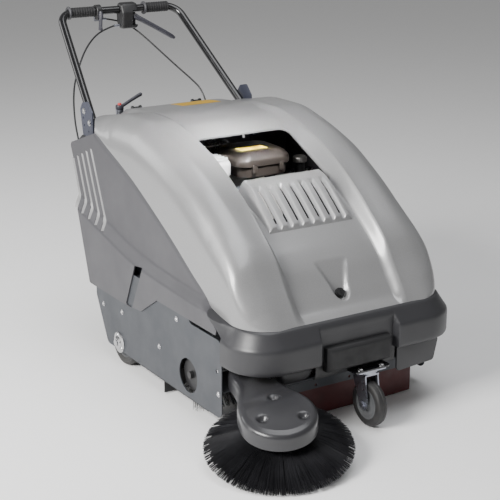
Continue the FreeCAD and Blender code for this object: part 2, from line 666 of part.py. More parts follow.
# ---------------------------------------------------------------- caster
def build_caster():
    top = caster_plate_z - 4
    deep = caster_plate_half
    plate = rounded_plate([(caster_x - 46, caster_y - deep, top), (caster_x + 46, caster_y - deep, top),
                           (caster_x + 46, caster_y + deep, top), (caster_x - 46, caster_y + deep, top)],
                          8, (0, 0, 4))
    for a in (-34, 34):
        for b in (-caster_bolt_y, caster_bolt_y):
            plate = plate.cut(rod(4.2, (caster_x + a, caster_y + b, top - 1),
                                  (caster_x + a, caster_y + b, top + 5)))
    plate = plate.cut(rod(7, (caster_x, caster_y, top - 1), (caster_x, caster_y, top + 5)))
    add("caster_plate", plate)
    bolts = screws([(caster_x + a, caster_y + b, caster_plate_z + deck_sheet)
                    for a in (-34, 34) for b in (-caster_bolt_y, caster_bolt_y)], 7, 5, (0, 0, 1))
    add("hex_screws", *bolts)
    race_z = top - 9
    race = fuse(rod(30, (caster_x, caster_y, race_z), (caster_x, caster_y, top - part_gap)),
                rod(6.9, (caster_x, caster_y, race_z), (caster_x, caster_y, top + 8)))
    hub_y = caster_y + caster_trail
    leg = caster_width / 2 + fork_gap
    crown = box(caster_x - leg - 4, caster_x + leg + 4, caster_y - 28, caster_y + 34, race_z - 4, race_z)
    sides = []
    for side in (-1, 1):
        x0, x1 = sorted((caster_x + side * leg, caster_x + side * (leg + 4)))
        sides.append(prism_x([(caster_y - 26, race_z), (caster_y + 34, race_z), (hub_y + 16, caster_radius),
                              (hub_y + 8, caster_radius - 14), (hub_y - 8, caster_radius - 14),
                              (hub_y - 18, caster_radius)], x0, x1))
    bore = rod(5, (caster_x - 40, hub_y, caster_radius), (caster_x + 40, hub_y, caster_radius))
    add("caster_fork", fuse(race, crown, *sides).cut(bore))
    bolt = rod(5, (caster_x - leg - 8, hub_y, caster_radius), (caster_x + leg + 10, hub_y, caster_radius))
    head = screws([(caster_x + leg + 4, hub_y, caster_radius)], 9, 8, (1, 0, 0)) + screws(
        [(caster_x - leg - 4, hub_y, caster_radius)], 9, 6, (-1, 0, 0))
    add("caster_axle_bolt", fuse(bolt, *head))
    x0, x1 = caster_x - caster_width / 2, caster_x + caster_width / 2
    tyre = rod(caster_radius, (x0, hub_y, caster_radius), (x1, hub_y, caster_radius))
    tyre = tyre.makeFillet(7, [e for e in tyre.Edges if type(e.Curve).__name__ == "Circle"])
    tyre = tyre.cut(rod(caster_rim_radius, (x0, hub_y, caster_radius), (x1, hub_y, caster_radius)))
    add("caster_tyre", tyre)
    rim = rod(caster_rim_radius, (x0 + 2, hub_y, caster_radius), (x1 - 2, hub_y, caster_radius))
    rim = rim.cut(rod(5 + running_clearance, (x0, hub_y, caster_radius), (x1, hub_y, caster_radius)))
    add("caster_rim", rim)


# ---------------------------------------------------------------- side brush
def leaned(shape):
    """Stand a shape, modelled upright about the Z axis, on the leaning brush axis."""
    copy = shape.copy()
    copy.Placement = FreeCAD.Placement(V(side_brush_x, side_brush_y, side_brush_z),
                                       FreeCAD.Rotation(V(0, 0, 1), side_axis)).multiply(copy.Placement)
    return copy


def build_side_brush():
    disc_low = bristle_drop
    disc_high = disc_low + 14
    shaft_top = disc_high + 26
    disc = fuse(rod(brush_disc_radius, (0, 0, disc_low), (0, 0, disc_high)),
                rod(12, (0, 0, disc_high), (0, 0, shaft_top)))
    add("side_brush_disc", leaned(disc))
    skirt = Part.makeCone(side_brush_radius, brush_disc_radius + 4, disc_low, V(0, 0, 0))
    hollow = Part.makeCone(side_brush_radius - 70, brush_disc_radius - 40, disc_low, V(0, 0, 0))
    add("side_brush_bristles", leaned(skirt.cut(hollow)))
    cover_low = disc_high + 4
    dome = fuse(rod(cover_radius, (0, 0, cover_low), (0, 0, cover_low + 22)),
                Part.makeCone(cover_radius, cover_radius - 22, 18, V(0, 0, cover_low + 22)))
    room = rod(cover_radius - 4, (0, 0, cover_low - 1), (0, 0, cover_low + 24))
    head_low = disc_high + 6
    cover = leaned(dome).cut(leaned(room))
    arm_top = [(-322, 12), (-222, 12), (-222, 110), (-240, arm_pivot_y + 14), (-306, arm_pivot_y + 14),
               (-322, 110)]
    arm = prism_z(arm_top, 122, 184).common(
        prism_x([(0, 122), (60, 122), (arm_pivot_y + 14, 152), (arm_pivot_y + 14, 184),
                 (110, 180), (0, 148)], -340, -200))
    arm_room = prism_z([(-318, 20), (-226, 20), (-226, 108), (-240, arm_pivot_y - 12),
                        (-304, arm_pivot_y - 12), (-318, 108)], 100, 220).common(
        prism_x([(0, 110), (60, 110), (arm_pivot_y - 12, 140), (arm_pivot_y - 12, 178), (110, 176),
                 (0, 143)], -340, -200))
    arm = arm.cut(leaned(rod(cover_radius - 2, (0, 0, cover_low - 60), (0, 0, cover_low + 22))))
    cover = fuse(cover, arm.cut(arm_room))
    pin_line = ((-body_half - 6, arm_pivot_y, arm_pivot_z), (-200, arm_pivot_y, arm_pivot_z))
    cover = cover.cut(rod(arm_pin_radius + running_clearance, *pin_line))
    add("side_brush_arm", cover)
    gear_head = rod(34, (0, 0, head_low), (0, 0, cover_low + 24)).cut(
        rod(12 + running_clearance, (0, 0, head_low - 1), (0, 0, shaft_top + 0.5)))
    add("side_brush_drive", leaned(gear_head))
    add("arm_pivot", rod(arm_pin_radius, (-plate_in - 1, arm_pivot_y, arm_pivot_z),
                         (-224, arm_pivot_y, arm_pivot_z)))
    bracket = box(-228, -224, arm_pivot_y - 16, arm_pivot_y + 14, arm_pivot_z - 14, beam_bottom)
    add("arm_pivot", bracket.cut(rod(arm_pin_radius, *pin_line)))
    add("side_brush_drive", rod(1.6, (-243, 56, 150), (-247, 50, 224)))


# ---------------------------------------------------------------- front flap
flap_right = -206.0
flap_left = 262.0
flap_pivot_y = 118.0
flap_pivot_z = 112.0
flap_bottom = 5.0


def build_flap():
    hang = box(flap_right, flap_left, flap_pivot_y - 2, flap_pivot_y + 2, flap_bottom, flap_pivot_z - 10)
    add("front_flap", hang)
    strip = box(flap_right, flap_left, flap_pivot_y - 4, flap_pivot_y - 2, flap_pivot_z - 30, flap_pivot_z)
    for x in (-170, -60, 50, 160, 232):
        strip = strip.cut(rod(4, (x, 100, flap_pivot_z - 20), (x, 130, flap_pivot_z - 20)))
    curl = ring(6, 3 + running_clearance, (flap_right, flap_pivot_y, flap_pivot_z),
                (flap_left, flap_pivot_y, flap_pivot_z))
    add("flap_strip", fuse(strip, curl).cut(
        rod(3 + running_clearance, (flap_right, flap_pivot_y, flap_pivot_z),
            (flap_left, flap_pivot_y, flap_pivot_z))))
    wire = rod(3, (flap_right - 12, flap_pivot_y, flap_pivot_z), (flap_left + 12, flap_pivot_y, flap_pivot_z))
    ears = [box(x, x + 4, flap_pivot_y - 7, 141.9, flap_pivot_z - 7, flap_pivot_z + 11)
            .cut(rod(3, (x - 1, flap_pivot_y, flap_pivot_z), (x + 5, flap_pivot_y, flap_pivot_z)))
            for x in (flap_right - 7, flap_left + 3)]
    add("hinges", wire)
    add("hinges", *ears)


# ---------------------------------------------------------------- hopper
def build_hopper():
    outer = box(-hopper_half, hopper_half, hopper_front, hopper_rear, hopper_bottom, hopper_top)
    inner = box(hopper_wall - hopper_half, hopper_half - hopper_wall, hopper_front + hopper_wall,
                hopper_rear - hopper_wall, hopper_bottom + hopper_wall, hopper_top + 1)
    mouth = box(hopper_wall - hopper_half, hopper_half - hopper_wall, hopper_front - 1,
                hopper_front + hopper_wall + 1, hopper_bottom + 70, hopper_top + 1)
    add("hopper_bin", outer.cut(inner).cut(mouth))
    fascia = rounded_plate([(-fascia_half, hopper_rear + part_gap, 128),
                            (fascia_half, hopper_rear + part_gap, 128),
                            (fascia_half, hopper_rear + part_gap, 336),
                            (-fascia_half, hopper_rear + part_gap, 336)],
                           16, (0, panel_wall, 0))
    path = rounded_path([(-70, hopper_rear + 3, 262), (-70, hopper_rear + 40, 262),
                         (70, hopper_rear + 40, 262), (70, hopper_rear + 3, 262)], [14, 14])
    add("hopper_fascia", fascia.fuse(sweep(path, 6)))


# ---------------------------------------------------------------- engine
def build_engine():
    crankcase = rounded_plate([(-70, crank_y - 88, deck_top), (110, crank_y - 88, deck_top),
                               (110, crank_y + 88, deck_top), (-70, crank_y + 88, deck_top)],
                              20, (0, 0, 160))
    boss = rod(42, (100, crank_y, crank_z), (132, crank_y, crank_z))
    crank_hole = rod(11.05, (60, crank_y, crank_z), (140, crank_y, crank_z))
    add("engine_crankcase", fuse(crankcase, boss).cut(crank_hole))
    fins = [box(-38, 88, -50, 50, i * 17 - 2.5, i * 17 + 2.5) for i in range(6)]
    barrel = fuse(rod(40, (25, 0, -8), (25, 0, 92)), *fins)
    barrel.rotate(V(0, 0, 0), V(1, 0, 0), 78)
    barrel.translate(V(0, crank_y - 92, crank_z - 10))
    add("engine_cylinder", barrel.cut(fuse(crankcase, boss)))
    shroud = fuse(rod(104, (-132, crank_y, crank_z + 12), (-70.3, crank_y, crank_z + 12)),
                  rounded_plate([(-132, crank_y - 150, crank_z + 10), (-132, crank_y - 20, crank_z - 60),
                                 (-132, crank_y - 20, crank_z + 112), (-132, crank_y - 128, crank_z + 92)],
                                14, (61.7, 0, 0)))
    add("fan_shroud", shroud)
    recoil = fuse(rod(82, (-150, crank_y, crank_z + 12), (-132, crank_y, crank_z + 12)),
                  rod(46, (-164, crank_y, crank_z + 12), (-150, crank_y, crank_z + 12)))
    add("recoil_starter", recoil)
    base, rim, top = cleaner_base, cleaner_base + 44, cleaner_base + 74
    cleaner = rounded_plate([(-22, 548, base), (150, 548, base), (150, 716, base), (-22, 716, base)],
                            24, (0, 0, 44))
    lid = Part.makeLoft([rounded_face([(-26, 544, rim), (154, 544, rim), (154, 720, rim),
                                       (-26, 720, rim)], 26).OuterWire,
                         rounded_face([(-12, 558, top), (140, 558, top), (140, 706, top),
                                       (-12, 706, top)], 20).OuterWire], True, True)
    add("air_cleaner", fuse(cleaner, lid))
    carburettor = fuse(rod(20, (60, 600, cleaner_base - 1), (60, 600, 490)),
                       box(40, 84, 520, 590, 500, 530))
    add("carburettor", carburettor.cut(whole_node("engine_cylinder")).cut(whole_node("engine_crankcase")))
    tank = rounded_plate([(150, 545, 440), (232, 545, 440), (232, 660, 440), (150, 660, 440)], 18,
                         (0, 0, 84))
    neck = ring(15, 11, (cap_x, 590, 524), (cap_x, 590, neck_top))
    add("fuel_tank", fuse(tank, neck))
    cap = fuse(rod(21, (cap_x, 590, neck_top + part_gap), (cap_x, 590, neck_top + 18)),
               rod(10.5, (cap_x, 590, neck_top - 10), (cap_x, 590, neck_top + 1)))
    add("fuel_cap", cap)
    muffler = fuse(rounded_plate([(-60, crank_y + 92, 520), (90, crank_y + 92, 520),
                                  (90, crank_y + 170, 520), (-60, crank_y + 170, 520)], 24, (0, 0, 90)),
                   rod(12, (0, crank_y + 84, 500), (0, crank_y + 110, 530)))
    add("muffler", muffler.cut(whole_node("engine_crankcase")))
    add("crank_pulley", fuse(rod(11, (70, crank_y, crank_z), (brush_belt_x + 9, crank_y, crank_z)),
                             *[pulley(x, crank_y, crank_z, crank_pulley_radius, 0)
                               for x in (traction_x, fan_belt_x, brush_belt_x)]))
    add("drive_belts", belt(traction_x, (crank_y, crank_z, crank_pulley_radius),
                              (wheel_y, wheel_z, axle_pulley_radius)))
    add("drive_belts", belt(fan_belt_x, (crank_y, crank_z, crank_pulley_radius),
                         (fan_y, fan_z, fan_pulley_radius)))
    add("drive_belts", belt(brush_belt_x, (crank_y, crank_z, crank_pulley_radius),
                           (brush_y, brush_z, brush_pulley_radius)))


# ---------------------------------------------------------------- suction
def build_suction():
    frame = box(-170, 130, 205, 395, 262, 330).cut(box(-160, 120, 215, 385, 270, 331))
    add("dust_filter", frame)
    pleats = [box(-158 + i * 14, -150 + i * 14, 217, 383, 270 + part_gap, 324) for i in range(20)]
    add("dust_filter", fuse(box(-159, 119, 216, 384, 270.2, 276), *pleats))
    housing = ring(fan_radius + 6, fan_radius, (176, fan_y, fan_z), (232, fan_y, fan_z))
    backs = [ring(fan_radius + 6, 34, (172, fan_y, fan_z), (176, fan_y, fan_z)),
             ring(fan_radius + 6, 9 + running_clearance, (232, fan_y, fan_z), (238, fan_y, fan_z))]
    foot = box(176, 232, fan_y + 12, fan_y + 80, deck_top, fan_z - 68).cut(
        rod(fan_radius + 3, (170, fan_y, fan_z), (240, fan_y, fan_z)))
    add("fan_housing", fuse(housing, *backs, foot))
    wheel = [rod(fan_radius - 6, (214, fan_y, fan_z), (218, fan_y, fan_z)),
             rod(9, (218, fan_y, fan_z), (fan_belt_x + 6, fan_y, fan_z))]
    for i in range(10):
        blade = box(184, 214, -2, 2, 30, fan_radius - 8)
        blade.rotate(V(0, 0, 0), V(1, 0, 0), 36.0 * i)
        blade.translate(V(0, fan_y, fan_z))
        wheel.append(blade)
    wheel.append(pulley(fan_belt_x, fan_y, fan_z, fan_pulley_radius, 0))
    add("fan_impeller", fuse(*wheel))


# ---------------------------------------------------------------- handlebar and controls
lever_pivot = V(50, 1316, 924)
lever_axis = V(0, -0.82, 0.573).normalize()
thumb_pivot = V(-79, 1314, 944)
housing_x = (-4.0, 60.0)


def build_handlebar():
    feet = [(side * leg_foot_x, leg_foot_y, leg_foot_z) for side in (-1, 1)]
    corners = [(side * bar_corner_x, bar_y, bar_z) for side in (-1, 1)]
    path = rounded_path([feet[0], corners[0], corners[1], feet[1]], [bar_bend, bar_bend])
    add("handlebar", sweep(path, tube_radius).cut(sweep(path, tube_radius - tube_wall)))
    for side in (-1, 1):
        x = side * (leg_foot_x + tube_radius + 1)
        outline = [(x, 968, 560), (x, 1034, 590), (x, 1056, 700), (x, 1040, 722), (x, 1004, 730),
                   (x, 974, 700)]
        plate = rounded_plate(outline, 9, (side * bracket_sheet, 0, 0))
        holes = [(1030, 655), (1036, 676), (1000, 640)]
        for y, z in holes:
            plate = plate.cut(rod(3, (x - 10, y, z), (x + 10, y, z)))
        leg = rod(tube_radius + 0.1, feet[0] if side < 0 else feet[1], corners[0] if side < 0 else corners[1])
        flange = box(*sorted((x + side * bracket_sheet, side * (waist_half - panel_wall - 1.2))), 972, 1010,
                     566, 570)
        add("handle_brackets", fuse(plate.cut(leg), flange))
    bolts = []
    for side in (-1, 1):
        face = side * (leg_foot_x + tube_radius + 1 + bracket_sheet)
        bolts += screws([(face, 1028, 698), (face, 992, 668)], 7, 5, (side, 0, 0))
    add("hex_screws", *bolts)
    for side in (-1, 1):
        start = (side * grip_inner, bar_y, bar_z)
        end = (side * grip_outer, bar_y, bar_z)
        add("handle_grips", ring(grip_radius, tube_radius, start, end))


def build_controls():
    x0, x1 = housing_x
    case = rounded_plate([(x0, 1308, 884), (x0, housing_rear, 900), (x0, housing_rear, 974), (x0, 1312, 968)], 8,
                         (x1 - x0, 0, 0))
    case = case.cut(rod(tube_radius, (-100, bar_y, bar_z), (100, bar_y, bar_z)))
    case = case.cut(box(x1 - 24, x1 - 10, 1300, 1334, 905, 938))
    pin_start, pin_end = lever_pivot - lever_axis * 9, lever_pivot + lever_axis * 9
    tip = V(165, 1268, 852)
    blade = fuse(rod(6, tuple(lever_pivot + V(22, -8, -13)), tuple(tip)), Part.makeSphere(8, tip),
                 rod(6, tuple(lever_pivot), tuple(lever_pivot + V(22, -8, -13))),
                 Part.makeSphere(6, lever_pivot + V(22, -8, -13)),
                 rod(8, tuple(pin_start * 0.5 + lever_pivot * 0.5), tuple(pin_end * 0.5 + lever_pivot * 0.5)))
    room = rod(14, tuple(lever_pivot - lever_axis * 12), tuple(lever_pivot + lever_axis * 12))
    case = case.cut(room).cut(
        rod(13, tuple(lever_pivot), tuple(lever_pivot + V(44, -16, -26)))).cut(
        rod(13, tuple(lever_pivot), tuple(lever_pivot + V(44, 10, 6))))
    pin = rod(2.5, tuple(pin_start - lever_axis * 8), tuple(pin_end + lever_axis * 8))
    add("lever_housings", case.Solids[0].fuse(pin))
    add("traction_lever", blade.cut(rod(2.5 + running_clearance, tuple(pin_start - lever_axis * 9),
                                        tuple(pin_end + lever_axis * 9))))
    clamp = ring(18, tube_radius, (-86, bar_y, bar_z), (-68, bar_y, bar_z))
    lug = box(-86, -68, bar_y - 21, bar_y - 16, bar_z - 14, bar_z + 4)
    add("lever_housings", fuse(clamp, lug))
    stem = rod(4, tuple(thumb_pivot - V(0, 0.3, 0)), tuple(thumb_pivot - V(0, 12, 0)))
    thumb = fuse(stem, rounded_plate([tuple(thumb_pivot + V(-8, -6, 8)), tuple(thumb_pivot + V(8, -6, 8)),
                                      tuple(thumb_pivot + V(2, -6, -54)),
                                      tuple(thumb_pivot + V(-8, -6, -54))], 4, (0, -5, 0)))
    add("thumb_lever", thumb)
    ferrules = [rod(4, (-67, 1340, 922), (-44, 1344, 920)), rod(4, (x0 - 0.5, 1325, 899), (x0 - 20, 1325, 899))]
    ferrules[0] = fuse(ferrules[0], box(-86, -68, 1336, 1346, 916, bar_z - 16)).cut(
        rod(18, (-100, bar_y, bar_z), (0, bar_y, bar_z)))
    add("deck_fittings", *ferrules)
    base = fuse(rod(12, (-160, 1030, 671), (-160, 1030, 690)), rod(6.8, (-160, 1030, 650), (-160, 1030, 671)))
    add("deck_fittings", base)
    hub = rod(11, (-160, 1030, 690 + part_gap), (-160, 1030, 704))
    blade = rod(6.5, (-160, 1030, 698), (-84, 1044, 724))
    button_bore = rod(6 + running_clearance, (-160, 1030, 696), (-160, 1030, 720))
    add("clamp_lever", fuse(hub, blade, Part.makeSphere(7, V(-84, 1044, 724))).cut(button_bore))
    add("clamp_button", rod(6, (-160, 1030, 699), (-160, 1030, 710)))
    grommets = [ring(10, cable_radius + 0.2, (lift_grommet_x, 1042, 671), (lift_grommet_x, 1042, 680)),
                ring(9, cable_radius + 0.2, *traction_grommet)]
    add("deck_fittings", *grommets)


# ---------------------------------------------------------------- cables
lift_cable = [(-44, 1344, 920), (-16, 1353, 914), (26, 1364, 903), (62, 1350, 881), (86, 1294, 845),
              (105, 1232, 808), (122, 1168, 773), (137, 1106, 742), (147, 1060, 716), (150, 1042, 680)]
traction_cable = [(-24, 1325, 899), (-62, 1320, 890), (-104, 1298, 877), (-146, 1267, 854),
                  (-180, 1238, 826), (-210, 1210, 789), (-236, 1184, 752), (-258, 1148, 712),
                  (-276, 1106, 666), (-287, 1070, 626), (-292, 1042, 594)]


def cable(name, points):
    runs = [(V(*b) - V(*a)).Length for a, b in zip(points, points[1:])]
    radii = []
    for i in range(1, len(points) - 1):
        before, here, after = V(*points[i - 1]), V(*points[i]), V(*points[i + 1])
        turn = math.pi - (before - here).getAngle(after - here)
        radii.append(0.45 * min(runs[i - 1], runs[i]) / math.tan(turn / 2))
    path = rounded_path(points, radii)
    solid = sweep(path, cable_radius)
    add(name, solid)
    section = math.pi * cable_radius ** 2
    print(name, "length", round(path.Length, 1), "volume ratio",
          round(solid.Volume / (section * path.Length), 4), "runs", [round(r) for r in runs],
          "radii", [round(r) for r in radii])


# ---------------------------------------------------------------- small fasteners
def build_fasteners():
    places = [(375, 250), (476, 138), (157, 111), (700, 170), (820, 160)]
    out = []
    for side in (-1, 1):
        out += screws([(side * plate_out, y, z) for y, z in places], 5.5, 3.5, (side, 0, 0))
    add("hex_screws", *out)


build_hood()
build_side_panels()
build_bumper()
build_frame()
build_axle()
build_main_brush()
build_caster()
build_side_brush()
build_flap()
build_hopper()
build_engine()
build_suction()
build_handlebar()
build_controls()
cable("lift_cable", lift_cable)
cable("traction_cable", traction_cable)
build_fasteners()

os.makedirs("parts", exist_ok=True)
for name in nodes:
    shape = whole_node(name)
    shape.translate(-origin)
    shape.exportStep(os.path.join("parts", name + ".step"))
    if not shape.isValid():
        print("not valid:", name)
print("nodes", len(nodes), "origin", [round(v, 2) for v in origin])
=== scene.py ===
"""Looks of the walk behind sweeper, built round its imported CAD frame.

Shapes are given in millimetres on the machine's own axes, as the CAD gives them: X from the
middle plane, positive to the operator's left, Y rearwards from the bumper's front, Z up
from the floor.  at() turns them into scene metres with two corners read from the frame.
"""
import math
import random

import bmesh
import bpy
from mathutils import Matrix, Vector


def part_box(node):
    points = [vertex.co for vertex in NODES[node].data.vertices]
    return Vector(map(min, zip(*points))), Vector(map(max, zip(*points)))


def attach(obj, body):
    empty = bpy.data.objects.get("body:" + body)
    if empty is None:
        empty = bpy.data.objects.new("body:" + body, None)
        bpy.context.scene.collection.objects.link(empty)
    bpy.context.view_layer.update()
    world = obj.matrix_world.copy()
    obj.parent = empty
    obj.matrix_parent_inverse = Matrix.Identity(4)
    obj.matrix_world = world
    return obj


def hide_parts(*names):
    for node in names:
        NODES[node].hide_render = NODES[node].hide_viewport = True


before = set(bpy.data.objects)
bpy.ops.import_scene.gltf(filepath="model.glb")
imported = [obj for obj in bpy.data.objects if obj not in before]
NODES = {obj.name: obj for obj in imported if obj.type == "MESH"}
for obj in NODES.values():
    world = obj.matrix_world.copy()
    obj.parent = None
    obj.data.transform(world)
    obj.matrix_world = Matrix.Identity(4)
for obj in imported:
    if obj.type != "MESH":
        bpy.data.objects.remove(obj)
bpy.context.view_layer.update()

panel_low, panel_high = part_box("side_panels")
MIDDLE_X = (panel_low[0] + panel_high[0]) / 2
BUMPER_AHEAD = 2.0
FRONT_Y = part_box("front_bumper")[0][1] + BUMPER_AHEAD / 1000


def at(x, y, z):
    return Vector((MIDDLE_X + x / 1000, FRONT_Y + y / 1000, z / 1000))


# ---------------------------------------------------------------- camera, light, floor
CAMERA_PLACE = (-1.902887, -3.154222, 1.5)
CAMERA_DOWN = 17.30
CAMERA_ROUND = -32.08
CAMERA_LENS = 97.01


def aim(obj, target):
    obj.rotation_euler = (Vector(target) - obj.location).to_track_quat("-Z", "Y").to_euler()


def area_light(name, place, target, size, power, colour, spread=180):
    lamp = bpy.data.lights.new(name, "AREA")
    lamp.shape = "RECTANGLE"
    lamp.size, lamp.size_y = size
    lamp.energy = power
    lamp.color = colour
    lamp.spread = math.radians(spread)
    obj = bpy.data.objects.new(name, lamp)
    bpy.context.scene.collection.objects.link(obj)
    obj.location = place
    aim(obj, target)


def build_studio():
    camera = bpy.data.objects.new("camera", bpy.data.cameras.new("camera"))
    bpy.context.scene.collection.objects.link(camera)
    camera.location = CAMERA_PLACE
    camera.rotation_euler = (math.radians(90 - CAMERA_DOWN), 0, math.radians(CAMERA_ROUND))
    camera.data.lens = CAMERA_LENS
    camera.data.sensor_width = 36
    bpy.context.scene.camera = camera
    world = bpy.data.worlds.new("studio")
    bpy.context.scene.world = world
    world.use_nodes = True
    world.node_tree.nodes["Background"].inputs[0].default_value = (1, 1, 1, 1)
    world.node_tree.nodes["Background"].inputs[1].default_value = 0.27
    area_light("key_left", (-3.4, -0.9, 2.5), (0, 0, 0.4), (1.8, 1.3), 275, (1, 0.99, 0.97))
    area_light("strip_left", (-2.6, 0.6, 1.3), (0, 0, 0.5), (0.5, 2.2), 16, (1, 1, 1))
    area_light("top", (0.3, -0.5, 3.6), (0, 0, 0.4), (2.4, 2.4), 72, (0.97, 0.98, 1))
    area_light("rear_left", (-2.2, 2.9, 1.9), (-0.3, 0, 0.45), (1.6, 1.3), 22, (1, 1, 1))
    area_light("window_fill", (-0.35, -1.5, 2.7), (0.02, 0.02, 0.6), (0.3, 0.25), 2.4, (1, 1, 1), 9)
    mesh = bpy.data.meshes.new("floor")
    reach = 14.0
    mesh.from_pydata([(-reach, -reach, 0), (reach, -reach, 0), (reach, reach, 0), (-reach, reach, 0)],
                     [], [(0, 1, 2, 3)])
    floor = bpy.data.objects.new("floor", mesh)
    bpy.context.scene.collection.objects.link(floor)
    mesh.materials.append(finish("floor_pale", (0.96, 0.96, 0.96), 0.8, mottle=0.005))


# ---------------------------------------------------------------- materials
def finish(name, colour, rough, metal=0.0, coat=0.0, coat_rough=0.08, mottle=0.06,
           mottle_size=0.08, grain=0.0, grain_size=0.0012, speckle=0.0, dusty=0.0, streak=0.0):
    """Procedural material: mottled colour, uneven roughness, grain bump, fine metallic speckle."""
    mat = bpy.data.materials.new(name)
    mat.use_nodes = True
    tree = mat.node_tree
    shader = tree.nodes["Principled BSDF"]
    shader.inputs["Metallic"].default_value = metal
    shader.inputs["Specular IOR Level"].default_value = 0.5
    shader.inputs["Coat Weight"].default_value = coat
    shader.inputs["Coat Roughness"].default_value = coat_rough
    place = tree.nodes.new("ShaderNodeTexCoord").outputs["Object"]

    def noise(size, detail, stretch=(1, 1, 1)):
        mapping = tree.nodes.new("ShaderNodeMapping")
        mapping.inputs["Scale"].default_value = stretch
        tree.links.new(place, mapping.inputs["Vector"])
        node = tree.nodes.new("ShaderNodeTexNoise")
        node.inputs["Scale"].default_value = 1 / size
        node.inputs["Detail"].default_value = detail
        tree.links.new(mapping.outputs[0], node.inputs["Vector"])
        return node.outputs["Fac"]

    def spread(value, low, high):
        node = tree.nodes.new("ShaderNodeMapRange")
        node.inputs["From Min"].default_value = 0.3
        node.inputs["From Max"].default_value = 0.7
        node.inputs["To Min"].default_value = low
        node.inputs["To Max"].default_value = high
        tree.links.new(value, node.inputs["Value"])
        return node.outputs[0]

    def blend(first, second, share):
        node = tree.nodes.new("ShaderNodeMix")
        node.data_type = "RGBA"
        node.blend_type = "MIX"
        for socket, value in ((0, share), (6, first), (7, second)):
            if hasattr(value, "links"):
                tree.links.new(value, node.inputs[socket])
            elif socket:
                node.inputs[socket].default_value = (*value, 1)
            else:
                node.inputs[socket].default_value = value
        return node.outputs[2]

    dark = [c * (1 - mottle) for c in colour]
    light = [min(1.0, c * (1 + mottle)) for c in colour]
    tone = blend(dark, light, spread(noise(mottle_size, 5), 0, 1))
    if speckle:
        fine = spread(noise(0.0016, 2), 0, 1)
        bright = [min(1.0, c * (1 + speckle)) for c in colour]
        tone = blend(tone, bright, blend((0, 0, 0), (0.5, 0.5, 0.5), fine))
    if streak:
        lines = spread(noise(0.05, 3, (1, 1, 0.05)), 0, streak)
        tone = blend(tone, [min(1.0, c * 3 + 0.03) for c in colour], lines)
    if dusty:
        patches = spread(noise(0.03, 8), 0, dusty)
        tone = blend(tone, (0.22, 0.20, 0.17), patches)
    tree.links.new(tone, shader.inputs["Base Color"])
    tree.links.new(spread(noise(mottle_size * 0.4, 4), rough * 0.85, min(1, rough * 1.15)),
                   shader.inputs["Roughness"])
    if grain:
        bump = tree.nodes.new("ShaderNodeBump")
        bump.inputs["Strength"].default_value = grain
        bump.inputs["Distance"].default_value = 0.0004
        tree.links.new(noise(grain_size, 3), bump.inputs["Height"])
        tree.links.new(bump.outputs[0], shader.inputs["Normal"])
    return mat


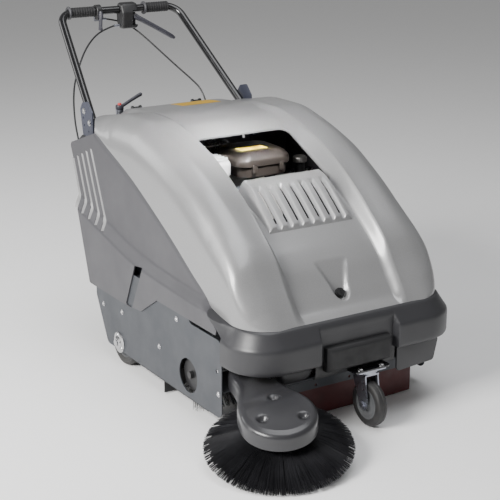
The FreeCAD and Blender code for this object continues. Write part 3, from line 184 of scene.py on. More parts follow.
def build_materials():
    return {
        "hood_silver": finish("silver_paint", (0.235, 0.235, 0.238), 0.34, 0.3, 0.5, 0.12,
                              mottle=0.03, mottle_size=0.3, grain=0.12, grain_size=0.0022, speckle=0.35),
        "hood_inside": finish("hood_inside", (0.02, 0.02, 0.022), 0.6, mottle=0.2, grain=0.2),
        "body_grey": finish("grey_moulding", (0.058, 0.057, 0.063), 0.46, 0.0, 0.05, 0.3, mottle=0.05,
                            mottle_size=0.25, grain=0.25, grain_size=0.0016),
        "black_plastic": finish("black_plastic", (0.014, 0.014, 0.015), 0.45, mottle=0.12,
                                grain=0.25, grain_size=0.0014),
        "bumper": finish("bumper_moulding", (0.026, 0.026, 0.029), 0.42, 0.0, 0.08, 0.25, mottle=0.06,
                         mottle_size=0.2, grain=0.3, grain_size=0.0016),
        "pad": finish("pad_rubber", (0.009, 0.009, 0.010), 0.62, mottle=0.1, grain=0.4,
                      grain_size=0.001),
        "frame_grey": finish("frame_paint", (0.046, 0.050, 0.058), 0.5, 0.2, 0.1, 0.3, mottle=0.05,
                             mottle_size=0.15, grain=0.15, grain_size=0.002),
        "bracket": finish("bracket_paint", (0.040, 0.044, 0.066), 0.42, 0.2, 0.2, 0.2, mottle=0.06,
                          grain=0.15, grain_size=0.002),
        "black_paint": finish("black_enamel", (0.004, 0.004, 0.005), 0.22, 0.0, 0.5, 0.06, mottle=0.1,
                              grain=0.04, grain_size=0.004),
        "zinc": finish("zinc_plate", (0.36, 0.37, 0.42), 0.3, 0.95, mottle=0.12, mottle_size=0.02,
                       grain=0.1, grain_size=0.003),
        "steel": finish("bright_steel", (0.55, 0.55, 0.56), 0.25, 1.0, mottle=0.08, mottle_size=0.03,
                        grain=0.08),
        "cast_alloy": finish("cast_alloy", (0.50, 0.49, 0.47), 0.42, 0.6, mottle=0.15,
                             mottle_size=0.02, grain=0.5, grain_size=0.0012, dusty=0.1),
        "black_rubber": finish("black_rubber", (0.012, 0.012, 0.013), 0.7, mottle=0.15, grain=0.3),
        "red_rubber": finish("red_rubber", (0.062, 0.004, 0.005), 0.5, mottle=0.2, mottle_size=0.06,
                             grain=0.25, grain_size=0.002),
        "tyre": finish("tyre_rubber", (0.016, 0.016, 0.017), 0.55, mottle=0.15, grain=0.3, dusty=0.06),
        "wheel_rim": finish("rim_plastic", (0.09, 0.093, 0.097), 0.45, mottle=0.08, grain=0.2),
        "bristle": finish("bristle_nylon", (0.009, 0.009, 0.011), 0.38, mottle=0.3, mottle_size=0.01,
                          streak=0.25),
        "cover_moulding": finish("cover_moulding", (0.026, 0.026, 0.029), 0.32, 0.0, 0.25, 0.15, mottle=0.06,
                                 mottle_size=0.15, grain=0.2, grain_size=0.0016),
        # Darker than the bristles themselves: painted shade inside the mass of bristles.
        "bristle_painted_shade": finish("bristle_painted_shade", (0.003, 0.003, 0.0035), 0.7, mottle=0.3,
                                mottle_size=0.01, grain=0.4),
        "shroud_grey": finish("shroud_casting", (0.55, 0.55, 0.56), 0.45, 0.2, mottle=0.12,
                              mottle_size=0.03, grain=0.4, grain_size=0.0015, dusty=0.08),
        "red_plastic": finish("red_button", (0.50, 0.035, 0.035), 0.35, 0.0, 0.2, mottle=0.05, grain=0.1),
        "cleaner_brown": finish("cleaner_plastic", (0.026, 0.021, 0.018), 0.4, 0.0, 0.1, 0.2,
                                mottle=0.1, grain=0.25, grain_size=0.0015),
        "filter_paper": finish("filter_paper", (0.45, 0.38, 0.25), 0.85, mottle=0.15, grain=0.4),
        "cable_black": finish("cable_sheath", (0.010, 0.010, 0.011), 0.38, mottle=0.1, grain=0.15),
        "label_ochre": finish("label_ochre", (0.46, 0.27, 0.012), 0.4, mottle=0.05, grain=0.05),
        "label_yellow": finish("label_yellow", (0.78, 0.56, 0.06), 0.38, mottle=0.05, grain=0.05),
        "brass": finish("brass", (0.50, 0.36, 0.14), 0.3, 1.0, mottle=0.1),
    }


PLAIN_NODES = {
    "air_cleaner": "cleaner_brown", "arm_pivot": "steel", "axle_shaft": "steel",
    "brush_pulley": "steel", "brush_tunnel": "frame_grey", "carburettor": "cast_alloy",
    "caster_axle_bolt": "zinc", "caster_fork": "zinc", "caster_plate": "zinc",
    "crank_pulley": "steel", "deck_fittings": "zinc", "drive_belts": "black_rubber",
    "dust_filter": "filter_paper", "engine_crankcase": "cast_alloy",
    "engine_cylinder": "cast_alloy", "engine_deck": "frame_grey", "fan_housing": "black_paint",
    "fan_impeller": "cast_alloy", "fan_shroud": "cast_alloy", "flap_strip": "frame_grey",
    "frame_plates": "frame_grey", "front_crossmember": "black_paint",
    "fuel_tank": "black_plastic", "handle_brackets": "bracket", "handlebar": "black_paint",
    "hex_screws": "zinc", "hinges": "black_paint", "hood_lock": "black_plastic",
    "hopper_bin": "frame_grey", "hopper_fascia": "body_grey", "main_brush_core": "black_plastic",
    "muffler": "steel", "rear_cowl": "body_grey", "rear_rims": "wheel_rim",
    "recoil_starter": "black_plastic", "rubber_skirts": "black_rubber", "shaft_bearings": "steel",
    "side_brush_disc": "black_plastic", "side_brush_drive": "zinc", "lever_housings": "black_plastic",
}


# ---------------------------------------------------------------- mesh helpers
def between(points):
    """Smooth curve through (x, y) points that never overshoots them, as a function."""
    slopes = [(b[1] - a[1]) / (b[0] - a[0]) for a, b in zip(points, points[1:])]
    tangents = [slopes[0]]
    for before, after in zip(slopes, slopes[1:]):
        tangents.append(0 if before * after <= 0 else 2 * before * after / (before + after))
    tangents.append(slopes[-1])

    def value(x):
        if x <= points[0][0]:
            return points[0][1]
        if x >= points[-1][0]:
            return points[-1][1]
        i = max(k for k in range(len(points) - 1) if points[k][0] <= x)
        (x0, y0), (x1, y1) = points[i], points[i + 1]
        h = x1 - x0
        t = (x - x0) / h
        return ((2 * t ** 3 - 3 * t ** 2 + 1) * y0 + (t ** 3 - 2 * t ** 2 + t) * h * tangents[i]
                + (3 * t ** 2 - 2 * t ** 3) * y1 + (t ** 3 - t ** 2) * h * tangents[i + 1])
    return value


def ease(t):
    t = min(1.0, max(0.0, t))
    return t * t * (3 - 2 * t)


def steps(*stops):
    """Values along a line from (start, step), (stop, step) ... (end,) pairs."""
    out = []
    for (start, step), (end, _) in zip(stops, stops[1:]):
        count = max(1, round((end - start) / step))
        out += [start + (end - start) * k / count for k in range(count)]
    return out + [stops[-1][0]]


def rounded(points, radius, arc_steps=5):
    """Closed outline with its corners turned by arcs."""
    out = []
    count = len(points)
    for i, point in enumerate(points):
        here = Vector(point)
        before, after = Vector(points[i - 1]), Vector(points[(i + 1) % count])
        u, v = (before - here).normalized(), (after - here).normalized()
        half = u.angle(v) / 2
        reach = min(radius / math.tan(half), (before - here).length * 0.49, (after - here).length * 0.49)
        r = reach * math.tan(half)
        centre = here + (u + v).normalized() * (r / math.sin(half))
        start, end = here + u * reach - centre, here + v * reach - centre
        for k in range(arc_steps + 1):
            arm = start.lerp(end, k / arc_steps)
            out.append(tuple(centre + arm.normalized() * r))
    return out


def new_object(name, verts, faces):
    mesh = bpy.data.meshes.new(name)
    mesh.from_pydata([tuple(v) for v in verts], [], faces)
    obj = bpy.data.objects.new(name, mesh)
    bpy.context.scene.collection.objects.link(obj)
    return obj


def tidy_mesh(obj, merge=0.00002):
    work = bmesh.new()
    work.from_mesh(obj.data)
    bmesh.ops.remove_doubles(work, verts=work.verts, dist=merge)
    bmesh.ops.dissolve_degenerate(work, edges=work.edges, dist=0.000005)
    bmesh.ops.recalc_face_normals(work, faces=work.faces)
    work.to_mesh(obj.data)
    work.free()


def settle(obj):
    """Apply every modifier."""
    graph = bpy.context.evaluated_depsgraph_get()
    mesh = bpy.data.meshes.new_from_object(obj.evaluated_get(graph), depsgraph=graph)
    obj.modifiers.clear()
    obj.data = mesh


def smooth(obj, angle=35):
    obj.data.polygons.foreach_set("use_smooth", [True] * len(obj.data.polygons))
    obj.data.set_sharp_from_angle(angle=math.radians(angle))


def carve(obj, cutters, how="DIFFERENCE"):
    for cutter in cutters:
        cut = obj.modifiers.new("cut", "BOOLEAN")
        cut.operation = how
        cut.solver = "EXACT"
        cut.object = cutter
    settle(obj)
    for cutter in cutters:
        bpy.data.objects.remove(cutter)


def thicken(obj, wall, inside=0):
    solid = obj.modifiers.new("wall", "SOLIDIFY")
    solid.thickness = wall / 1000
    solid.offset = -1
    solid.material_offset = inside
    settle(obj)


def bevel(obj, width, segments=2, angle=40):
    edge = obj.modifiers.new("edge", "BEVEL")
    edge.width = width / 1000
    edge.segments = segments
    edge.limit_method = "ANGLE"
    edge.angle_limit = math.radians(angle)
    settle(obj)


def make(obj, body, slot, *materials, replaces=(), angle=35):
    obj.data.materials.clear()
    for material in materials:
        obj.data.materials.append(material)
    if obj.type == "MESH":
        smooth(obj, angle)
    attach(obj, body)
    if replaces:
        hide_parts(*replaces)
    return obj


def grid(name, rows, close_u=False, close_v=False):
    """Quad mesh through rows of points."""
    wide, tall = len(rows[0]), len(rows)
    verts = [p for row in rows for p in row]
    faces = []
    for j in range(tall if close_v else tall - 1):
        for i in range(wide if close_u else wide - 1):
            a, b = j * wide + i, j * wide + (i + 1) % wide
            c, d = ((j + 1) % tall) * wide + (i + 1) % wide, ((j + 1) % tall) * wide + i
            faces.append((a, b, c, d))
    return new_object(name, verts, faces)


def skin(name, rows, wall, outward, face=None, inside=0):
    """Sheet through rows of points with its wall behind; face is the one that must look outward."""
    obj = grid(name, rows)
    tidy_mesh(obj)
    faces = obj.data.polygons
    if faces[len(faces) // 2 if face is None else face].normal.dot(Vector(outward)) < 0:
        obj.data.flip_normals()
    thicken(obj, wall, inside)
    return obj


def prism(name, outline, place, depth0, depth1):
    """Solid between two copies of an outline; place(u, v, depth) gives each point."""
    count = len(outline)
    verts = [place(u, v, d) for d in (depth0, depth1) for u, v in outline]
    faces = [tuple(range(count)), tuple(range(2 * count - 1, count - 1, -1))]
    faces += [(i, (i + 1) % count, count + (i + 1) % count, count + i) for i in range(count)]
    obj = new_object(name, verts, faces)
    tidy_mesh(obj)
    return obj


def prism_x(name, outline, x0, x1):
    return prism(name, outline, lambda y, z, x: at(x, y, z), x0, x1)


def prism_z(name, outline, z0, z1):
    return prism(name, outline, lambda x, y, z: at(x, y, z), z0, z1)


def basis(axis):
    """Two unit vectors square to an axis."""
    axis = Vector(axis).normalized()
    side = axis.orthogonal().normalized()
    return side, axis.cross(side)


def turned(name, profile, centre, axis, count=48):
    """Solid of revolution: profile of (radius, height) along an axis from centre, in mm."""
    axis = Vector(axis).normalized()
    u, v = basis(axis)
    rows = []
    for radius, height in profile:
        ring = []
        for k in range(count):
            angle = 2 * math.pi * k / count
            arm = u * math.cos(angle) + v * math.sin(angle)
            ring.append(at(*(Vector(centre) + axis * height + arm * max(radius, 0.01))))
        rows.append(ring)
    closed = profile[0] == profile[-1]
    obj = grid(name, rows[:-1] if closed else rows, close_u=True, close_v=closed)
    tidy_mesh(obj)
    return obj


def join(name, objects):
    base = objects[0]
    work = bmesh.new()
    for obj in objects:
        work.from_mesh(obj.data)
    mesh = bpy.data.meshes.new(name)
    work.to_mesh(mesh)
    work.free()
    base.data = mesh
    base.name = name
    for obj in objects[1:]:
        bpy.data.objects.remove(obj)
    return base


def loft(name, sections):
    """Closed skin through rings of mm points, all with the same count."""
    obj = grid(name, [[at(*p) for p in ring] for ring in sections], close_u=True)
    work = bmesh.new()
    work.from_mesh(obj.data)
    work.verts.ensure_lookup_table()
    count = len(sections[0])
    total = len(work.verts)
    work.faces.new([work.verts[i] for i in range(count)][::-1])
    work.faces.new([work.verts[total - count + i] for i in range(count)])
    work.to_mesh(obj.data)
    work.free()
    tidy_mesh(obj)
    return obj


def slab(x0, x1, y0, y1, z, radius, inset=0.0):
    """Ring of a rounded rectangle lying flat."""
    corners = [(x0 + inset, y0 + inset), (x1 - inset, y0 + inset),
               (x1 - inset, y1 - inset), (x0 + inset, y1 - inset)]
    return [(x, y, z) for x, y in rounded(corners, max(1.0, radius - inset * 0.6))]


def soft_block(name, x0, x1, y0, y1, z0, z1, corner, edge):
    """Rounded box: plan corners of one radius, top and bottom edges of another."""
    rings = [slab(x0, x1, y0, y1, z0 + edge * (1 - math.sin(a)), corner, edge * (1 - math.cos(a)))
             for a in [math.pi / 2 * (1 - k / 4) for k in range(5)]]
    rings += [slab(x0, x1, y0, y1, z1 - edge * (1 - math.sin(a)), corner, edge * (1 - math.cos(a)))
              for a in [math.pi / 2 * k / 4 for k in range(5)]]
    return loft(name, rings)


def tube(name, points, radii, count=20):
    """Round bar along points with a radius at each, closed flat at its ends."""
    rings = []
    points = [Vector(p) for p in points]
    side = None
    for i, point in enumerate(points):
        ahead = points[min(i + 1, len(points) - 1)] - points[max(i - 1, 0)]
        axis = ahead.normalized()
        side = axis.orthogonal().normalized() if side is None else (
            side - axis * side.dot(axis)).normalized()
        other = axis.cross(side)
        wide, tall = radii[i] if isinstance(radii[i], tuple) else (radii[i], radii[i])
        rings.append([tuple(point + side * wide * math.cos(a) + other * tall * math.sin(a))
                      for a in [2 * math.pi * k / count for k in range(count)]])
    return loft(name, rings)


def hexagon_screw(centre, axis, size, tall):
    """Flange washer and hexagon head standing on a face."""
    axis = Vector(axis).normalized()
    u, v = basis(axis)
    washer = turned("washer", [(0, 0), (size * 1.45, 0), (size * 1.45, tall * 0.25), (size, tall * 0.3),
                               (0, tall * 0.3)], centre, axis, 24)
    rings = []
    for radius, height in ((size, 0.2), (size, 0.85), (size * 0.86, 1.0)):
        rings.append([tuple(Vector(centre) + axis * tall * height
                            + (u * math.cos(a) + v * math.sin(a)) * radius)
                      for a in [math.pi / 3 * k for k in range(6)]])
    return [washer, loft("head", rings)]


# ---------------------------------------------------------------- hood
WAIST = 318.0
HOOD_FRONT = 27.0
HOOD_CORNER = 102.0
HOOD_WALL = 4.0
CHANNEL = 150.0
BEVEL_TOP = 176.0
REAR_TURN, HOOD_REAR = 780, 1016
SHOULDER = 244.0
STATIONS = [(27, 304, 302), (60, 350, 320), (95, 398, 360), (137, 460, 414), (215, 528, 482),
            (276, 574, 524), (357, 624, 565), (449, 670, 610), (598, 714, 682), (674, 727, 709),
            (780, 726, 717), (880, 710, 710), (949, 695, 704), (1016, 685, 692)]
SEAM = [(26, 305), (127, 310), (221, 327), (240, 346), (312, 388), (423, 455), (539, 518), (660, 578),
        (788, 629), (886, 665), (1016, 680)]
crest_at = between([(y, crest) for y, crest, _ in STATIONS])
channel_at = between([(y, floor) for y, _, floor in STATIONS])
seam_at = between(SEAM)
rear_at = between([(0, 1014), (110, 1012), (185, 990), (271, 958), (318, 880)])
LOCK = (0, 96.0, 346)
LOCK_AXIS = (0, -0.8, 0.6)
SCOOP_TIP, SCOOP_TIP_Y, SCOOP_ROUND, SCOOP_DEEP = 58.0, 146.0, 31.0, 23.0


def scoop_depth(x, y):
    """Finger scoop round the lock: deepest at the bottom, running out at its top corners."""
    a = abs(x)
    middle = LOCK[1] + 6
    if y > SCOOP_TIP_Y or y < middle - SCOOP_ROUND:
        return 0.0
    if y >= middle:
        share = (y - middle) / (SCOOP_TIP_Y - middle)
        half = SCOOP_ROUND + (SCOOP_TIP - SCOOP_ROUND) * share
        return SCOOP_DEEP * (1 - share) ** 0.9 * ease((half - a) / 19)
    inside = SCOOP_ROUND - math.hypot(a, middle - y)
    return SCOOP_DEEP * ease(inside / 19)


def hood_height(x, y):
    a = abs(x)
    crest, floor = crest_at(y), channel_at(y)
    seam = seam_at(y)
    drop = min(min(90.0, 12 + (y - HOOD_FRONT) * 0.35) * 0.6, max(2.0, crest - seam - 8))
    if a >= SHOULDER:
        z = crest - drop * ((a - SHOULDER) / (WAIST - SHOULDER)) ** 1.6
    elif a >= BEVEL_TOP:
        z = crest - 4 * ease((SHOULDER - a) / (SHOULDER - BEVEL_TOP))
    else:
        share = (BEVEL_TOP - a) / (BEVEL_TOP - CHANNEL)
        share = 0.45 * ease(share) + 0.55 * min(1.0, max(0.0, share))
        z = (crest - 4) * (1 - share) + floor * share
    if y < HOOD_FRONT + HOOD_CORNER and a > WAIST - HOOD_CORNER:
        inside = HOOD_CORNER - math.hypot(a - WAIST + HOOD_CORNER, HOOD_FRONT + HOOD_CORNER - y)
    else:
        inside = WAIST - a
    r = min(34.0, 0.8 * max(0.0, z - seam))
    if inside < r:
        z -= r - math.sqrt(max(0.0, r * r - (r - inside) ** 2))
    return z - scoop_depth(x, y)


def half_width(y):
    if y >= HOOD_FRONT + HOOD_CORNER:
        return WAIST
    away = HOOD_FRONT + HOOD_CORNER - y
    return WAIST - HOOD_CORNER + math.sqrt(max(0.0, HOOD_CORNER ** 2 - away ** 2))


def hood_point(a, y):
    """Surface point for a nominal distance from the middle plane and a nominal station."""
    flat = WAIST - HOOD_CORNER
    x = a if abs(a) <= flat else math.copysign(
        flat + (abs(a) - flat) * (half_width(y) - flat) / HOOD_CORNER, a)
    if y > REAR_TURN:
        y = REAR_TURN + (y - REAR_TURN) * (rear_at(abs(x)) - REAR_TURN) / (HOOD_REAR - REAR_TURN)
    return x, y


def build_hood(mats):
    half = steps((0, 2), (62, 11), (CHANNEL - 8, 2.6), (BEVEL_TOP + 8, 9), (SHOULDER, 7), (296, 3),
                 (WAIST, 1))
    nominal = [-a for a in reversed(half[1:])] + half
    corner_rows = [HOOD_FRONT + HOOD_CORNER * (1 - math.cos(math.pi / 2 * k / 40)) for k in range(40)]
    rows_y = corner_rows + steps((HOOD_FRONT + HOOD_CORNER, 3), (150, 9), (HOOD_REAR, 9))
    rows = []
    for station in rows_y:
        line = [hood_point(a, station) for a in nominal]
        top = [(x, y, hood_height(x, y)) for x, y in line]
        left, right = [], []
        for k in range(1, 6):
            share = k / 5
            for side, store in ((0, left), (-1, right)):
                x, y, z = top[side]
                low = min(z, seam_at(y))
                store.append((x, y, z + (low - z) * share))
        rows.append([at(*p) for p in left[::-1] + top + right])
    shell = skin("hood_shell_skin", rows, HOOD_WALL, (0, 0, 1), inside=1)
    window = prism_z("cut", rounded([(-156, 350), (156, 350), (151, 590), (-151, 590)], 26), 400, 900)
    below = prism_z("cut", rounded([(-120, 244), (120, 244), (120, 360), (-120, 360)], 8), 400, 900)
    bore = turned("cut", [(0, -40), (11.4, -40), (11.4, 20), (0, 20)], LOCK, LOCK_AXIS, 32)
    carve(shell, [window, below, bore])
    make(shell, "hood", "hood_silver", mats["hood_silver"], mats["hood_inside"],
         replaces=("hood_shell",), angle=32)
    build_louvre(mats)
    lip = turned("lock_bezel", [(11.2, -6), (13.2, -4), (13.2, 0.6), (12.4, 1.6), (11.3, 1.4), (11.2, -6)],
                 LOCK, LOCK_AXIS, 40)
    make(lip, "hood", "black_plastic", mats["black_plastic"], replaces=("hood_shell",))
    label = [[at(x, y, hood_height(x, y) + 0.8) for x in steps((-18, 12), (114, 12))]
             for y in steps((890, 10), (966, 10))]
    plate = grid("rear_label_blank", label)
    tidy_mesh(plate)
    thicken(plate, 0.7)
    make(plate, "hood", "hood_silver", mats["label_ochre"], replaces=("hood_shell",))


LOUVRE_HALF = 128.0
SLOT_PITCH = 34.0
SLOT_COUNT = 7
louvre_top = between([(228, 506), (270, 541), (330, 586), (352, 597), (376, 603)])


def build_louvre(mats):
    """Raised louvre panel under the window, with seven open grooves."""
    centres = [(i - (SLOT_COUNT - 1) / 2) * SLOT_PITCH for i in range(SLOT_COUNT)]

    def height(x, y):
        top = louvre_top(y)
        floor = channel_at(y) - 3
        foot = LOUVRE_HALF + 2 + 0.40 * max(0.0, top - floor)
        a = abs(x)
        z = top
        edge = LOUVRE_HALF - 6
        if a > edge:
            share = min(1.0, (a - edge) / (foot - edge))
            z = top - (top - floor) * (0.35 * ease(share) + 0.65 * share ** 1.3)
        for centre in centres:
            across = x - centre
            end = ease((342 - y) / 6)
            wall = ease((across + 8) / 2) * ease((11 - across) / 6)
            z -= 9.5 * wall * end * (1.0 if a < edge else 0.0)
        return max(z, floor)

    xs = steps((-146, 2), (146, 2))
    ys = steps((230, 3), (376, 3))
    rows = [[at(x, 229, channel_at(229) - 4) for x in xs], [at(x, 229, height(x, 230) - 3) for x in xs]]
    rows += [[at(x, y, height(x, y)) for x in xs] for y in ys]
    rows.append([at(x, 380, height(x, 376) - 4) for x in xs])
    rows.append([at(x, 381, max(channel_at(372) - 4, height(x, 376) - 14)) for x in xs])
    panel = skin("hood_louvre_panel", rows, 2.5, (0, 0, 1), inside=1)
    slots = [prism_z("cut", rounded([(c - 7, 246), (c + 3, 246), (c + 3, 337), (c - 7, 337)], 2.5),
                     440, 700) for c in centres]
    carve(panel, slots)
    make(panel, "hood", "hood_silver", mats["hood_silver"], mats["hood_inside"],
         replaces=("hood_shell",), angle=40)


# ---------------------------------------------------------------- side panels
BODY_HALF = 339.0
PANEL_WALL = 3.5
crease_low = between([(120, 318), (240, 320), (310, 322), (582, 335), (810, 378), (1060, 436)])
crease_high = between([(120, 345), (240, 346), (310, 349), (582, 368), (810, 411), (1060, 470)])
PANEL_OUTLINE = [(217.5, 325), (240, 342.5), (312, 386.5), (423, 453.5), (539, 516.5), (660, 576.5),
                 (788, 627.5), (880, 662), (1043, 606), (1050, 596), (978, 430), (905, 203), (660, 203),
                 (574, 212), (480, 272), (139.5, 272)]


def panel_x(y, z):
    share = (z - crease_low(y)) / (crease_high(y) - crease_low(y))
    share = 0.4 * ease(share) + 0.6 * min(1.0, max(0.0, share))
    x = BODY_HALF - (BODY_HALF - WAIST) * share
    if y > 217:
        slope = (seam_at(y + 5) - seam_at(y - 5)) / 10
        inside = (seam_at(y) - z) / math.hypot(1, slope) if y < 880 else 60
        r = 15.0
        if inside < r:
            x -= 0.8 * (r - math.sqrt(max(0.0, r * r - (r - max(inside, 0)) ** 2)))
    return x


def build_side_panels(mats):
    for side, name in ((-1, "right"), (1, "left")):
        ys = steps((128, 9), (1066, 9))
        zs = steps((196, 6), (300, 4), (480, 6), (676, 6))
        rows = [[at(side * panel_x(y, z), y, z) for y in ys] for z in zs]
        panel = skin("side_panel_" + name, rows, PANEL_WALL, (side, 0, 0), 0)
        outline = rounded(PANEL_OUTLINE, 9, 3)
        carve(panel, [prism_x("cut", outline, side * 250, side * 400)], "INTERSECT")
        vents = []
        fins = []
        for i in range(5):
            top_y, bottom_y = 1037 - i * 31, 986 - i * 42
            top_z, bottom_z = 558 + i * 13, 416 - i * 8
            vents.append(prism_x("cut", [(top_y - 10, top_z), (top_y + 5, top_z),
                                         (bottom_y + 5, bottom_z), (bottom_y - 10, bottom_z)],
                                 side * 290, side * 360))
            fin = []
            for share in [k / 12 for k in range(13)]:
                y = top_y + (bottom_y - top_y) * share
                z = top_z + (bottom_z - top_z) * share
                x = side * (panel_x(y, z) - 0.4)
                fin.append([at(x, y + 5.5, z), at(x - side * 4, y + 1.5, z), at(x - side * 11, y - 4.5, z),
                            at(x - side * 12, y - 3, z), at(x - side * 4.5, y + 5.5, z)])
            rib = grid("fin", fin, close_u=True)
            tidy_mesh(rib)
            fins.append(rib)
        slot = rounded([(607, 337), (561, 342), (629, 205), (668, 205)], 5, 3)
        carve(panel, vents + [prism_x("cut", slot, side * 290, side * 360)])
        make(panel, "chassis", "body_grey", mats["body_grey"], replaces=("side_panels",), angle=30)
        # The ribs take the pale vent rib material: painted highlight along each vent groove.
        ribs = join("vent_ribs_" + name, fins)
        make(ribs, "chassis", "body_grey", mats["vent_rib"], replaces=("side_panels",))
        # Near-black sheet just inside the vents, in the hood liner colour: painted shade standing in for the
        # shadowed engine bay seen through the vent slots.
        shade_sheet_outline = rounded([(806, 372), (1030, 372), (1050, 600), (1000, 634), (806, 624)], 14)
        make(prism_x("vent_shade_backing_" + name, shade_sheet_outline, side * 299, side * 301), "chassis", "body_grey",
             mats["hood_inside"])


# ---------------------------------------------------------------- bumper
BUMPER_CORNER = 108.0
SIDE_SHARE = 21 / 27


def bumper_plan(inset):
    """Half plan path of the bumper from the rear of one side to the middle, in mm."""
    half, front = BODY_HALF - inset, -BUMPER_AHEAD + inset
    r = BUMPER_CORNER - inset
    straight = [(half, 224 - k * (224 - front - r) / 9) for k in range(9)]
    arc = [(half - r + r * math.cos(a), front + r - r * math.sin(a))
           for a in [math.pi / 2 * k / 22 for k in range(23)]]
    face = [(x, front) for x in
            (200, 180, 160, 146, 138, 134, 131, 128.5, 126, 124, 122, 119, 116, 113, 108, 96, 80, 60,
             40, 20, 0)
            if x < half - r]
    return straight + arc + face


def build_bumper(mats):
    profile = [(9.0, 199), (4.5, 199.5), (1.6, 201.5), (0.3, 205), (0, 211), (0, 225), (0, 240),
               (0, 252), (0.3, 258), (1.4, 262.5), (3.6, 266), (6.5, 269.8), (12, 277.6),
               (18, 286.2), (23, 293.3), (26.5, 298.6), (29.5, 301.8), (34, 303)]
    rows = []
    for inset, z in profile:
        line = []
        for (x, y), (px, py) in zip(bumper_plan(0), bumper_plan(inset)):
            high = z + max(0.0, seam_at(y) - 305) * min(1.0, max(0.0, (z - 266) / 37))
            if y > 106:
                share = ease((y - 106) / 90)
                px = (BODY_HALF - inset * SIDE_SHARE) * (1 - share) + panel_x(y, high) * share
                px -= share * max(0.0, inset - 26.5) * 3.2
                py = y
            recess = ease((127.5 - abs(x)) / 9) if y < 0 else 0.0
            depth = 22 * recess * (1 - ease((z - 284) / 14))
            line.append((px, max(py, -BUMPER_AHEAD + depth) if depth > inset else py, high))
        mirrored = [(-x, y, z) for x, y, z in line[:-1]]
        rows.append([at(*p) for p in mirrored + line[::-1]])
    shell = skin("front_bumper_skin", rows, 3.2, (-1, 0, 0), 40)
    ends = [(-50, 150), (138.5, 150), (138.5, 272), (215.5, 325), (215.5, 400), (-50, 400)]
    carve(shell, [prism_x("cut", ends, -420, 420)], "INTERSECT")
    make(shell, "chassis", "body_grey", mats["bumper"], replaces=("front_bumper",), angle=32)
    chin = [(21.5, 216), (20.2, 200), (20, 180), (20.5, 166), (22, 158), (26, 152.5), (32, 151)]
    rows = [[at(x, y, z) for x in steps((-127, 8), (127, 8))] for y, z in chin]
    wall = skin("bumper_chin", rows, 3.0, (0, -1, 0), 0)
    make(wall, "chassis", "body_grey", mats["black_plastic"], replaces=("front_bumper",))
    rings = []
    for y, inset, low in ((19.5, 0, 173), (8, 0, 173), (3, 0.5, 173.5), (0.5, 3, 175), (-3.2, 8.5, 178),
                          (-4.6, 10.5, 179.5), (-5.2, 13, 182)):
        x = 104 - inset
        high = 239 - (low - 173) * 1.2
        ring = rounded([(-x, low), (x, low), (x, high), (-x, high)], 3, 3)
        rings.append([(u, y, v) for u, v in ring])
    make(loft("bumper_pad_block", rings), "chassis", "black_plastic", mats["pad"],
         replaces=("bumper_pad",), angle=30)
    fairing = []
    for z, x0, x1, y0, y1, r in ((196, -216, -88, 76, 106, 12), (176, -214, -91, 70, 106, 16),
                                 (158, -211, -95, 67, 106, 20), (144, -206, -101, 69, 106, 20),
                                 (134, -198, -109, 75, 105, 18), (129, -188, -119, 83, 104, 12)):
        fairing.append(slab(x0, x1, y0, y1, z, r))
    lump = loft("brush_drive_fairing", fairing)
    skirt = rounded([(138, 118), (265, 126), (281, 196), (138, 196)], 12, 4)
    plate = prism("side_skirt", skirt, lambda x, z, y: at(x, y, z), 23, 29)
    bevel(plate, 2, 3)
    ledge = soft_block("skirt_ledge", 138, 265, 28, 60, 190, 197, 4, 2)
    both = join("front_fairing_mouldings", [lump, plate, ledge])
    make(both, "chassis", "black_plastic", mats["bumper"], replaces=("front_fairings",))


# ---------------------------------------------------------------- side brush
SIDE_BRUSH = (-294.0, -65.0)
SIDE_RADIUS = 190.0
LEAN_FRONT = math.tan(math.radians(10))
LEAN_OUT = math.tan(math.radians(7))
SIDE_AXIS = Vector((-LEAN_OUT, -LEAN_FRONT, 1)).normalized()
SIDE_FOOT = Vector((*SIDE_BRUSH, SIDE_RADIUS * math.sin(math.acos(SIDE_AXIS.z)) + 2))
COVER_RADIUS = 97.0


